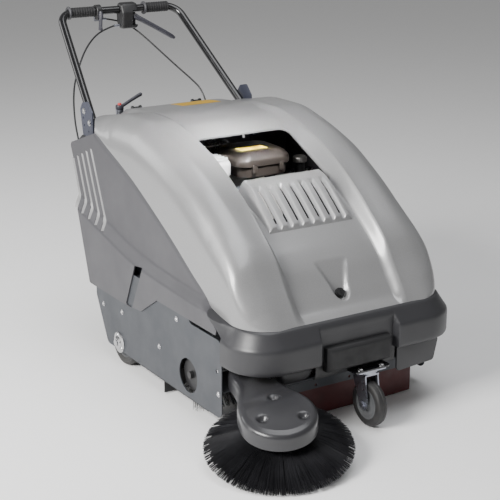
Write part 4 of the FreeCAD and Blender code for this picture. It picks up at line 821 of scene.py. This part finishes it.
def build_cover(mats):
    """Moulded cover over the side brush drive, running back to its pivot."""
    hub = SIDE_FOOT + SIDE_AXIS * 112
    neck = Vector((-272, 122, 0))
    outline = []
    for k in range(61):
        angle = math.radians(152 + 236 * k / 60)
        outline.append((hub.x + COVER_RADIUS * math.cos(angle), hub.y + COVER_RADIUS * math.sin(angle)))
    right_arm = [(-226, 40), (-221, 66), (-220, 96), (-224, 130), (-233, 156), (-248, 171)]
    end_arm = [(-262, 176), (-284, 176), (-300, 171), (-312, 156), (-319, 130), (-323, 100), (-330, 70),
               (-342, 44)]
    left_side = [(-358, 26), (-378, 6)]
    points = outline + right_arm + end_arm + left_side

    def top_z(x, y):
        ahead = y - hub.y
        rise = LEAN_FRONT * min(ahead, 100) + max(0.0, ahead - 100) * 0.11
        return min(hub.z + LEAN_OUT * (x - hub.x) * 0.9 + rise, 183) - 8 * ease((y + 55) / 60)

    dimples = [(-287, -30, 16), (-359, -92, 17), (-268, -133, 16)]

    def surface(x, y):
        z = top_z(x, y)
        for dx, dy, r in dimples:
            away = math.hypot(x - dx, y - dy)
            z -= 12 * ease((r - away) / (r * 0.75))
        return z

    def spine(x, y):
        a, b = Vector((hub.x, hub.y)), Vector((neck.x, neck.y))
        share = max(0.0, min(1.0, (Vector((x, y)) - a).dot(b - a) / (b - a).length_squared))
        return a.lerp(b, share)

    smooth_line = []
    count = len(points)
    for i in range(count):
        before, here, after = (Vector(points[(i + d) % count]) for d in (-1, 0, 1))
        smooth_line.append(before * 0.25 + here * 0.5 + after * 0.25)
    dense = []
    for i in range(count):
        a, b = smooth_line[i], smooth_line[(i + 1) % count]
        pieces = max(1, int((b - a).length / 5))
        dense += [a.lerp(b, k / pieces) for k in range(pieces)]
    for _ in range(4):
        dense = [dense[i - 1] * 0.25 + dense[i] * 0.5 + dense[(i + 1) % len(dense)] * 0.25
                 for i in range(len(dense))]
    rows = []
    edge = 16.0
    skirt = 44.0
    for drop in (skirt, skirt * 0.7, skirt * 0.5):
        rows.append([at(p.x, p.y, top_z(p.x, p.y) - drop) for p in dense])
    for k in range(6):
        angle = math.pi / 2 * k / 6
        inward, sink = edge * (1 - math.cos(angle)), edge * (1 - math.sin(angle))
        row = []
        for p in dense:
            s = spine(p.x, p.y)
            q = p + (s - p).normalized() * inward
            row.append(at(q.x, q.y, top_z(p.x, p.y) - sink))
        rows.append(row)
    for k in range(26):
        row = []
        for p in dense:
            s = spine(p.x, p.y)
            start = p + (s - p).normalized() * edge
            q = start.lerp(s, k / 25)
            crown = 3.0 * ease(k / 25)
            row.append(at(q.x, q.y, surface(q.x, q.y) + crown * 0.6))
        rows.append(row)
    cover = grid("side_brush_cover", rows, close_u=True)
    tidy_mesh(cover, 0.0004)
    middle = max(cover.data.polygons, key=lambda f: f.center.z)
    if middle.normal.z < 0:
        cover.data.flip_normals()
    thicken(cover, 3.0)
    make(cover, "side_brush_lift", "body_grey", mats["cover_moulding"],
         replaces=("side_brush_arm",), angle=45)
    screws = []
    for x, y, _ in dimples:
        place = (x, y, surface(x, y) - 1.0)
        screws.append(turned("hole", [(0, 0), (6.5, 0), (7.0, 1.2), (6.0, 2.2), (3.5, 2.4), (3.4, 0.9),
                                      (0, 0.9)], place, SIDE_AXIS, 28))
    make(join("cover_screws", screws), "side_brush_lift", "black_plastic", mats["black_plastic"],
         replaces=("side_brush_arm",))


def strands(name, roots, count_sides=3):
    """Bristles as thin tapered prisms; roots is a list of (points, radius)."""
    verts, faces = [], []
    for points, radius in roots:
        base = len(verts)
        points = [Vector(p) for p in points]
        u, v = basis(points[-1] - points[0])
        for i, point in enumerate(points):
            r = radius * (1 - 0.35 * i / (len(points) - 1))
            for k in range(count_sides):
                angle = 2 * math.pi * k / count_sides
                verts.append(at(*(point + (u * math.cos(angle) + v * math.sin(angle)) * r)))
        rings = len(points)
        for i in range(rings - 1):
            for k in range(count_sides):
                a, b = base + i * count_sides + k, base + i * count_sides + (k + 1) % count_sides
                faces.append((a, b, b + count_sides, a + count_sides))
        faces.append(tuple(base + k for k in reversed(range(count_sides))))
        last = base + (rings - 1) * count_sides
        faces.append(tuple(last + k for k in range(count_sides)))
    return new_object(name, verts, faces)


def build_side_bristles(mats):
    draw = random.Random(7)
    u, v = basis(SIDE_AXIS)
    roots = []
    tufts = 64
    for row, (root_radius, lean) in enumerate(((52, 0.78), (66, 0.92), (76, 1.0))):
        for tuft in range(tufts):
            tuft_angle = 2 * math.pi * (tuft + row / 3) / tufts
            for _ in range(25):
                angle = tuft_angle + draw.gauss(0, 0.036)
                reach = SIDE_RADIUS * lean * draw.uniform(0.975, 0.998)
                height = draw.uniform(0.5, 5) * (2.2 - lean)
                twist = draw.gauss(0.0, 0.014)
                points = []
                for share in (0, 0.35, 0.7, 1.0):
                    radius = root_radius + (reach - root_radius) * share ** 0.93
                    high = 52 + (height - 52) * share ** 1.12
                    turn = angle + twist * share
                    arm = u * math.cos(turn) + v * math.sin(turn)
                    points.append(SIDE_FOOT + SIDE_AXIS * high + arm * radius)
                roots.append((points, draw.uniform(0.7, 1.0)))
    make(strands("side_brush_strands", roots), "side_brush", "bristle", mats["bristle"],
         replaces=("side_brush_bristles",))
    # Near-black cone under the bristles, from their roots out almost to the tips: painted shade filling the
    # depth of the bristle mass.
    core = turned("side_brush_shade_cone", [(40, 50), (84, 49), (168, 7), (163, 4), (80, 38), (40, 40)],
                  SIDE_FOOT, SIDE_AXIS, 64)
    make(core, "side_brush", "bristle", mats["bristle_painted_shade"], replaces=("side_brush_bristles",))


def build_main_bristles(mats):
    draw = random.Random(11)
    roots = []
    rows, tufts = 8, 56
    for row in range(rows):
        for tuft in range(tufts):
            share = tuft / (tufts - 1)
            x = -318 + 594 * share
            angle = 2 * math.pi * row / rows + 1.7 * share
            for _ in range(5):
                a = angle + draw.gauss(0, 0.05)
                dx = draw.gauss(0, 2.0)
                arm = Vector((0, math.cos(a), math.sin(a)))
                centre = Vector((x, 316, 108))
                tip = centre + Vector((dx * 2, 0, 0)) + arm * draw.uniform(103.5, 105.6)
                roots.append(([centre + Vector((dx, 0, 0)) + arm * 44, tip], 0.9))
    make(strands("main_brush_strands", roots), "main_brush", "bristle", mats["bristle"],
         replaces=("main_brush_bristles",))


# ---------------------------------------------------------------- wheels
WHEEL_Y, WHEEL_RADIUS, WHEEL_WIDTH = 722, 70, 44.0
CASTER_HUB = (32, -2, 62)
PLATE_FACE = 335.0


def build_wheels(mats):
    tread = [(42, 13), (46, 13.6), (52, 14.5), (57, 13.6), (60.6, 10.4), (61.8, 5), (62, 2.2), (61.2, 1.4),
             (61.2, -1.4), (62, -2.2), (61.8, -5), (60.6, -10.4), (57, -13.6), (52, -14.5), (46, -13.6),
             (42, -13), (42, 13)]
    tyre = turned("caster_tyre_tread", tread, CASTER_HUB, (1, 0, 0), 72)
    make(tyre, "caster_wheel", "tyre", mats["tyre"], replaces=("caster_tyre",))
    face = [(5.2, 14.6), (13, 14.6), (14.5, 12), (18, 9.5), (30, 8.5), (36, 10.5), (39.5, 13), (42.2, 13),
            (42.2, -13), (39.5, -13), (36, -10.5), (30, -8.5), (18, -9.5), (14.5, -12), (13, -14.6),
            (5.2, -14.6), (5.2, 14.6)]
    rim = turned("caster_wheel_rim", face, CASTER_HUB, (1, 0, 0), 64)
    make(rim, "caster_wheel", "body_grey", mats["wheel_rim"],
         replaces=("caster_rim",))
    tyres, rims = [], []
    outer = (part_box("rear_tyres")[1][0] - MIDDLE_X) * 1000
    for side in (-1, 1):
        centre = (side * (outer - WHEEL_WIDTH / 2), WHEEL_Y, WHEEL_RADIUS)
        half = WHEEL_WIDTH / 2
        ring = [(48, half - 3), (54, half - 0.6), (62, half), (67, half - 2.5), (69.4, half - 8)]
        ring += [(70, half - 11), (70, half - 13), (68.6, half - 14), (68.6, half - 16), (70, half - 17)]
        mirrored = [(r, -h) for r, h in reversed(ring)]
        tyres.append(turned("tyre", ring + mirrored + [ring[0]], centre, (1, 0, 0), 80))
        dish = [(10.3, half - 2), (20, half - 2), (23, half - 6), (30, half - 12), (40, half - 12),
                (44, half - 7), (48, half - 4)]
        dish += [(r, -h) for r, h in reversed(dish)]
        rims.append(turned("rim", dish + [dish[0]], centre, (1, 0, 0), 64))
    make(join("rear_tyre_treads", tyres), "drive_axle", "tyre", mats["tyre"], replaces=("rear_tyres",))
    make(join("rear_wheel_rims", rims), "drive_axle", "body_grey", mats["wheel_rim"],
         replaces=("rear_rims",))


# ---------------------------------------------------------------- engine
def build_engine(mats):
    def cleaner_ring(inset, z, radius=26):
        return [(x, y, z) for x, y in rounded(
            [(-26 + inset, 566 + inset * 0.9), (-4 + inset * 0.9, 544 + inset),
             (132 - inset * 0.9, 544 + inset),
             (154 - inset, 570 + inset * 0.9), (154 - inset, 694 - inset * 0.9),
             (132 - inset * 0.9, 720 - inset), (-4 + inset * 0.9, 720 - inset),
             (-26 + inset, 698 - inset * 0.9)], radius, 4)]
    lid = loft("air_cleaner_lid", [cleaner_ring(2, 586), cleaner_ring(0, 588), cleaner_ring(0, 598),
                                   cleaner_ring(0.8, 604), cleaner_ring(3, 609), cleaner_ring(10, 616.5),
                                   cleaner_ring(17, 622.5), cleaner_ring(22, 625), cleaner_ring(30, 626)])
    base = loft("air_cleaner_base", [cleaner_ring(14, 552), cleaner_ring(8, 556), cleaner_ring(6, 570),
                                     cleaner_ring(6, 583), cleaner_ring(8, 586)])
    clips = []
    for x, y in ((20, 545), (110, 545), (-25, 630), (153, 630)):
        clips.append(soft_block("clip", x - 7, x + 7, y - 5, y + 5, 568, 594, 3, 2))
    whole = join("air_cleaner_case", [lid, base] + clips)
    make(whole, "chassis", "cleaner_brown", mats["cleaner_brown"], replaces=("air_cleaner",), angle=28)
    label = soft_block("cleaner_label_blank", 6, 92, 590, 632, 625.6, 626.7, 2, 0.3)
    make(label, "chassis", "cleaner_brown", mats["label_yellow"], replaces=("air_cleaner",))
    centre = (0, 690, 492)
    profile = [(0, -132), (40, -132), (42, -129), (60, -129), (62, -131), (74, -131), (76, -128), (92, -127),
               (99, -123), (103, -116), (104, -108), (104, -92), (101, -90), (101, -86), (104, -84),
               (104, -72),
               (60, -70.5), (0, -70.5)]
    shroud = turned("fan_shroud_round", profile, centre, (1, 0, 0), 72)
    cheek_line = rounded([(540, 492), (560, 580), (640, 600), (690, 596), (690, 440), (640, 430)], 26, 6)
    cheek = prism_x("cheek", cheek_line, -130, -70.5)
    bevel(cheek, 12, 4, 30)
    make(join("fan_shroud_casting", [shroud, cheek]), "chassis", "cast_alloy", mats["shroud_grey"],
         replaces=("fan_shroud",))
    hump = soft_block("hump", -128, -40, 562, 700, 556, 612, 24, 16)
    ridges = [soft_block("ridge", -120, -48, y, y + 7, 608, 616, 3, 2) for y in (580, 598, 616, 634)]
    make(join("shroud_hump", [hump] + ridges), "chassis", "cast_alloy", mats["shroud_grey"],
         replaces=("fan_shroud",))
    cap_rows = []
    cap = (204, 590, 0)
    for z, radius, knurl in ((570.5, 19.5, 0), (572, 20.8, 0.5), (584, 20.8, 0.5), (586, 19.6, 0.2),
                             (587.8, 17.5, 0), (588, 14, 0), (586.6, 12, 0), (586.4, 0.05, 0)):
        ring = []
        for k in range(96):
            angle = 2 * math.pi * k / 96
            r = radius + knurl * math.cos(24 * angle)
            ring.append((cap[0] + r * math.cos(angle), cap[1] + r * math.sin(angle), z))
        cap_rows.append(ring)
    top = loft("filler_cap_top", cap_rows)
    plug = turned("plug", [(0, 560), (10.4, 560), (10.4, 571), (0, 571)], cap, (0, 0, 1), 32)
    make(join("filler_cap", [top, plug]), "fuel_cap", "steel", mats["cap_metal"], replaces=("fuel_cap",))
    tank = soft_block("tank", 150, 232, 545, 660, 440, 524, 22, 10)
    neck = turned("neck", [(11.2, 520), (18, 520), (18, 528), (15, 533), (15, 568), (16.5, 569), (16.5, 570),
                           (11.2, 570), (11.2, 520)], cap, (0, 0, 1), 40)
    make(join("fuel_tank_shell", [tank, neck]), "chassis", "black_plastic", mats["black_plastic"],
         replaces=("fuel_tank",))
    bits = []
    for i in range(9):
        angle = 0.5 + i * 0.52
        bits.append(turned("stud", [(0, 0), (6.5, 0), (6.5, 6), (4.6, 9), (0, 9)],
                           (-30 + 18 * i, 534 + 8 * math.sin(angle * 3), 532 + 9 * math.cos(angle * 5)),
                           (0, -0.9, 0.45), 12))
    bowl = turned("bowl", [(0, -20), (14, -20), (18, -16), (19, 0), (21, 1), (21, 6), (15, 8), (0, 8)],
                  (64, 560, 512), (0, 0, 1), 36)
    choke = tube("choke", [(36, 540, 512), (60, 532, 516), (96, 536, 512), (118, 556, 506)], [5, 6, 6, 5])
    plate = soft_block("deflector", -58, 8, 530, 556, 492, 536, 8, 6)
    rods = [tube("rod", [(92, 540, 524), (120, 528, 520), (146, 548, 512)], [2, 2, 2], 10),
            tube("rod", [(-10, 528, 500), (20, 522, 506), (44, 536, 498)], [2.2, 2.2, 2.2], 10)]
    make(join("carburettor_casting", bits + [bowl, choke] + rods), "chassis", "cast_alloy",
         mats["bright_bits"], replaces=("carburettor",))
    make(plate, "chassis", "cast_alloy", mats["pale_plate"], replaces=("carburettor",))
    case = soft_block("muffler_can", -60, 90, 782, 860, 520, 610, 24, 12)
    pipe = tube("pipe", [(0, 774, 500), (0, 784, 512), (0, 800, 530)], [12, 12, 12])
    make(join("muffler_body", [case, pipe]), "chassis", "steel", mats["steel"], replaces=("muffler",))
    pull = turned("pull", [(0, 0), (46, 0), (48, -2), (48, -12), (44, -14), (30, -14), (28, -12), (0, -12)],
                  (-150, 690, 492), (1, 0, 0), 48)
    guard_rows = [(82, 18), (82, 3), (79, 0.4), (52, 0), (50, 4), (30, 4), (0, 4), (0, 18), (82, 18)]
    guard = turned("guard", guard_rows[:-1], (-150, 690, 492), (1, 0, 0), 64)
    make(join("recoil_cover", [pull, guard]), "chassis", "black_plastic", mats["black_plastic"],
         replaces=("recoil_starter",))


# ---------------------------------------------------------------- flap and skirts
def build_flap(mats):
    low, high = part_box("front_flap")
    x0, x1 = (low[0] - MIDDLE_X) * 1000, (high[0] - MIDDLE_X) * 1000
    rows = []
    for z in steps((5, 6), (102, 6)):
        share = (102 - z) / 97
        row = []
        for x in steps((x0, 7), (x1, 7)):
            wave = 1.6 * share * math.sin(x / 34) + 1.1 * share * math.sin(x / 61 + 1.3)
            row.append(at(x, 116.2 + wave, z))
        rows.append(row)
    flap = grid("front_flap_sheet", rows)
    tidy_mesh(flap)
    if flap.data.polygons[0].normal.y > 0:
        flap.data.flip_normals()
    thicken(flap, 3.6)
    make(flap, "front_flap", "red_rubber", mats["red_rubber"], replaces=("front_flap",))


# ---------------------------------------------------------------- handlebar controls
LEG_X, TUBE_RADIUS, BRACKET_SHEET = 262, 12.5, 4
CLAMP_FOOT = (-160, 1030, 0)


def build_controls(mats):
    bar = (0, 1335, 948)
    grips = []
    for side in (-1, 1):
        inner, outer = 92, 174
        collar_at_end = side < 0
        profile = [(12.6, inner), (16.5, inner)]
        for k in range(9):
            x = inner + 6 + k * (outer - inner - 12) / 8
            profile += [(16.4, x - 2.6), (15.2, x - 1.4), (15.2, x + 1.0), (16.4, x + 2.2)]
        profile += [(16.5, outer), (12.6, outer), (12.6, inner)]
        if side < 0:
            profile = [(r, -h) for r, h in profile]
        grips.append(turned("grip", profile, bar, (1, 0, 0), 40))
        edge = side * (outer + 0.2 if collar_at_end else inner - 0.2)
        flip = side if collar_at_end else -side
        ring = [(12.6, edge), (19.5, edge), (21, edge + flip * 2), (21, edge + flip * 5),
                (18.5, edge + flip * 7), (12.6, edge + flip * 7), (12.6, edge)]
        collar = turned("grip_collar_" + ("right" if side < 0 else "left"), ring, bar, (1, 0, 0), 40)
        make(collar, "chassis", "black_rubber", mats["collar"], replaces=("handle_grips",))
    make(join("grip_sleeves", grips), "chassis", "black_rubber", mats["black_rubber"],
         replaces=("handle_grips",))
    outline = rounded([(1310, 888), (1336, 886), (1354, 904), (1356, 942), (1348, 971), (1318, 968),
                       (1305, 940)], 12, 4)
    case = prism_x("housing", outline, -2, 58)
    bevel(case, 9, 4, 30)
    carve(case, [prism_x("cut", [(1290, 898), (1334, 898), (1334, 946), (1290, 946)], 35, 62)])
    clamp = turned("clamp", [(12.6, -9), (19, -9), (20.5, -7.5), (20.5, 7.5), (19, 9), (12.6, 9), (12.6, -9)],
                   (-77, 1335, 948), (1, 0, 0), 40)
    lug = soft_block("lug", -88, -66, 1314, 1332, 922, 950, 3, 3)
    make(join("lever_housing_bodies", [case, clamp, lug]), "chassis", "black_plastic",
         mats["black_plastic"], replaces=("lever_housings",), angle=30)
    blade = tube("traction_blade", [(50, 1316, 924), (60, 1312, 918), (74, 1307, 910), (104, 1295, 892),
                                    (134, 1282, 873), (158, 1271, 857), (166, 1267.5, 851.5)],
                 [8, (8, 9), (7, 9), (6, 9), (5.5, 9.5), (5.5, 8.5), (3, 5)])
    eye = turned("eye", [(2.6, -4.4), (9, -4.4), (10, -3.4), (10, 3.4), (9, 4.4), (2.6, 4.4), (2.6, -4.4)],
                 (50, 1316, 924), (0, -0.82, 0.573), 32)
    make(join("traction_lever_blade", [blade, eye]), "traction_lever", "black_plastic",
         mats["lever_plastic"], replaces=("traction_lever",))
    hub = turned("hub", [(6.2, 690.4), (12, 690.4), (12.6, 692), (12.6, 701), (11.6, 703.4), (8, 704.2),
                         (6.2, 704.2), (6.2, 690.4)], CLAMP_FOOT, (0, 0, 1), 40)
    arm = tube("arm", [(-150, 1032, 699), (-140, 1034, 703), (-116, 1038, 713), (-92, 1042.5, 722),
                       (-80, 1044.5, 726), (-76, 1045, 727)],
                      [(5, 6), (5, 6.4), (5, 7), (5.5, 7.6), (6, 7.6), (3, 4)])
    make(join("clamp_lever_arm", [hub, arm]), "clamp_lever", "black_plastic", mats["lever_plastic"],
         replaces=("clamp_lever",))
    button = turned("clamp_button_cap", [(0, 699.2), (5.9, 699.2), (5.9, 707), (5.2, 709),
                                         (3.5, 709.8), (0, 710)], CLAMP_FOOT, (0, 0, 1), 32)
    make(button, "clamp_button", "red_plastic", mats["red_plastic"], replaces=("clamp_button",))
    stalk = tube("thumb", [(-79, 1308, 950), (-80, 1305.6, 940), (-81, 1305.4, 920), (-82, 1305.6, 902),
                           (-82, 1305.8, 893), (-82, 1306, 890)],
                 [(3, 5), (3, 8), (2.8, 6), (2.8, 6), (3.2, 7.5), (2, 4)])
    stem = turned("stem", [(0, -0.4), (4, -0.4), (4, -9), (0, -9)], (-79, 1314, 944), (0, 1, 0), 24)
    make(join("thumb_lever_tab", [stalk, stem]), "thumb_lever", "black_plastic", mats["lever_plastic"],
         replaces=("thumb_lever",))


# ---------------------------------------------------------------- small fasteners
def build_fasteners(mats):
    heads = []
    for side in (-1, 1):
        for y, z in ((375, 250), (476, 138), (157, 111), (700, 170), (820, 160)):
            heads += hexagon_screw((side * PLATE_FACE, y, z), (side, 0, 0), 5.2, 3.6)
        face = side * (LEG_X + TUBE_RADIUS + 1 + BRACKET_SHEET)
        for y, z in ((1028, 698), (992, 668)):
            heads += hexagon_screw((face, y, z), (side, 0, 0), 6.6, 5)
    for x in (-34, 34):
        for y in (-22, 22):
            heads += hexagon_screw((32 + x, 18 + y, 162), (0, 0, 1), 6.4, 5)
    make(join("hexagon_screws", heads), "chassis", "zinc", mats["steel"], replaces=("hex_screws",), angle=25)
    hubs = []
    for side in (-1, 1):
        hubs.append(turned("bearing", [(10.3, 0), (31, 0), (31, 3), (27, 5), (20, 6), (18, 10), (14, 12),
                                       (10.3, 12), (10.3, 0)],
                           (side * PLATE_FACE, WHEEL_Y, WHEEL_RADIUS), (side, 0, 0), 48))
        for k in range(3):
            angle = math.radians(90 + 120 * k)
            hubs += hexagon_screw((side * (PLATE_FACE + 3), WHEEL_Y + 24 * math.cos(angle),
                                   WHEEL_RADIUS + 24 * math.sin(angle)),
                                  (side, 0, 0), 4.5, 4)
    make(join("axle_bearing_flanges", hubs), "chassis", "steel", mats["steel"], replaces=("shaft_bearings",),
         angle=25)


# ---------------------------------------------------------------- cables
LIFT_CABLE = [(-44, 1344, 920), (-16, 1353, 914), (26, 1364, 903), (62, 1350, 881), (86, 1294, 845),
              (105, 1232, 808), (122, 1168, 773), (137, 1106, 742), (147, 1060, 716), (150, 1042, 680)]
TRACTION_CABLE = [(-24, 1325, 899), (-62, 1320, 890), (-104, 1298, 877), (-146, 1267, 854),
                  (-180, 1238, 826), (-210, 1210, 789), (-236, 1184, 752), (-258, 1148, 712),
                  (-276, 1106, 666), (-287, 1070, 626), (-292, 1042, 594)]
CABLE_DIAMETER = 0.0055


def build_cable(name, node, points, mats):
    curve = bpy.data.curves.new(name, "CURVE")
    curve.dimensions = "3D"
    curve.bevel_depth = CABLE_DIAMETER / 2
    curve.bevel_resolution = 5
    curve.resolution_u = 16
    curve.use_fill_caps = True
    line = curve.splines.new("NURBS")
    line.points.add(len(points) - 1)
    for point, place in zip(line.points, points):
        point.co = (*at(*place), 1)
    line.order_u = 3
    line.use_endpoint_u = True
    curve.materials.append(mats["cable_black"])
    obj = bpy.data.objects.new(name, curve)
    bpy.context.scene.collection.objects.link(obj)
    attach(obj, "chassis")
    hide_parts(node)


# ---------------------------------------------------------------- everything
def build():
    build_studio()
    mats = build_materials()
    # Vent ribs: pale grey, over three times the panel grey, is painted highlight for the light caught on the
    # vent groove faces.
    mats["vent_rib"] = finish("vent_rib_painted_highlight", (0.20, 0.20, 0.205), 0.42, mottle=0.05, grain=0.2)
    mats["collar"] = finish("collar_rubber", (0.05, 0.05, 0.055), 0.5, mottle=0.1, grain=0.2)
    mats["lever_plastic"] = finish("lever_plastic", (0.030, 0.030, 0.040), 0.4, mottle=0.1, grain=0.2)
    mats["cap_metal"] = finish("cap_metal", (0.30, 0.29, 0.28), 0.32, 0.8, mottle=0.1, grain=0.1)
    mats["bright_bits"] = finish("bright_bits", (0.75, 0.74, 0.70), 0.25, 0.7, mottle=0.3,
                                 mottle_size=0.01, grain=0.2)
    mats["pale_plate"] = finish("pale_plate", (0.55, 0.60, 0.66), 0.35, 0.6, mottle=0.25,
                                mottle_size=0.012, grain=0.3)
    for name, finish_name in PLAIN_NODES.items():
        node = NODES[name]
        node.data.materials.clear()
        node.data.materials.append(mats[finish_name])
    build_cable("lift_cable_line", "lift_cable", LIFT_CABLE, mats)
    build_cable("traction_cable_line", "traction_cable", TRACTION_CABLE, mats)
    build_hood(mats)
    build_side_panels(mats)
    build_bumper(mats)
    build_cover(mats)
    build_side_bristles(mats)
    build_main_bristles(mats)
    build_wheels(mats)
    build_engine(mats)
    build_flap(mats)
    build_controls(mats)
    build_fasteners(mats)


build()
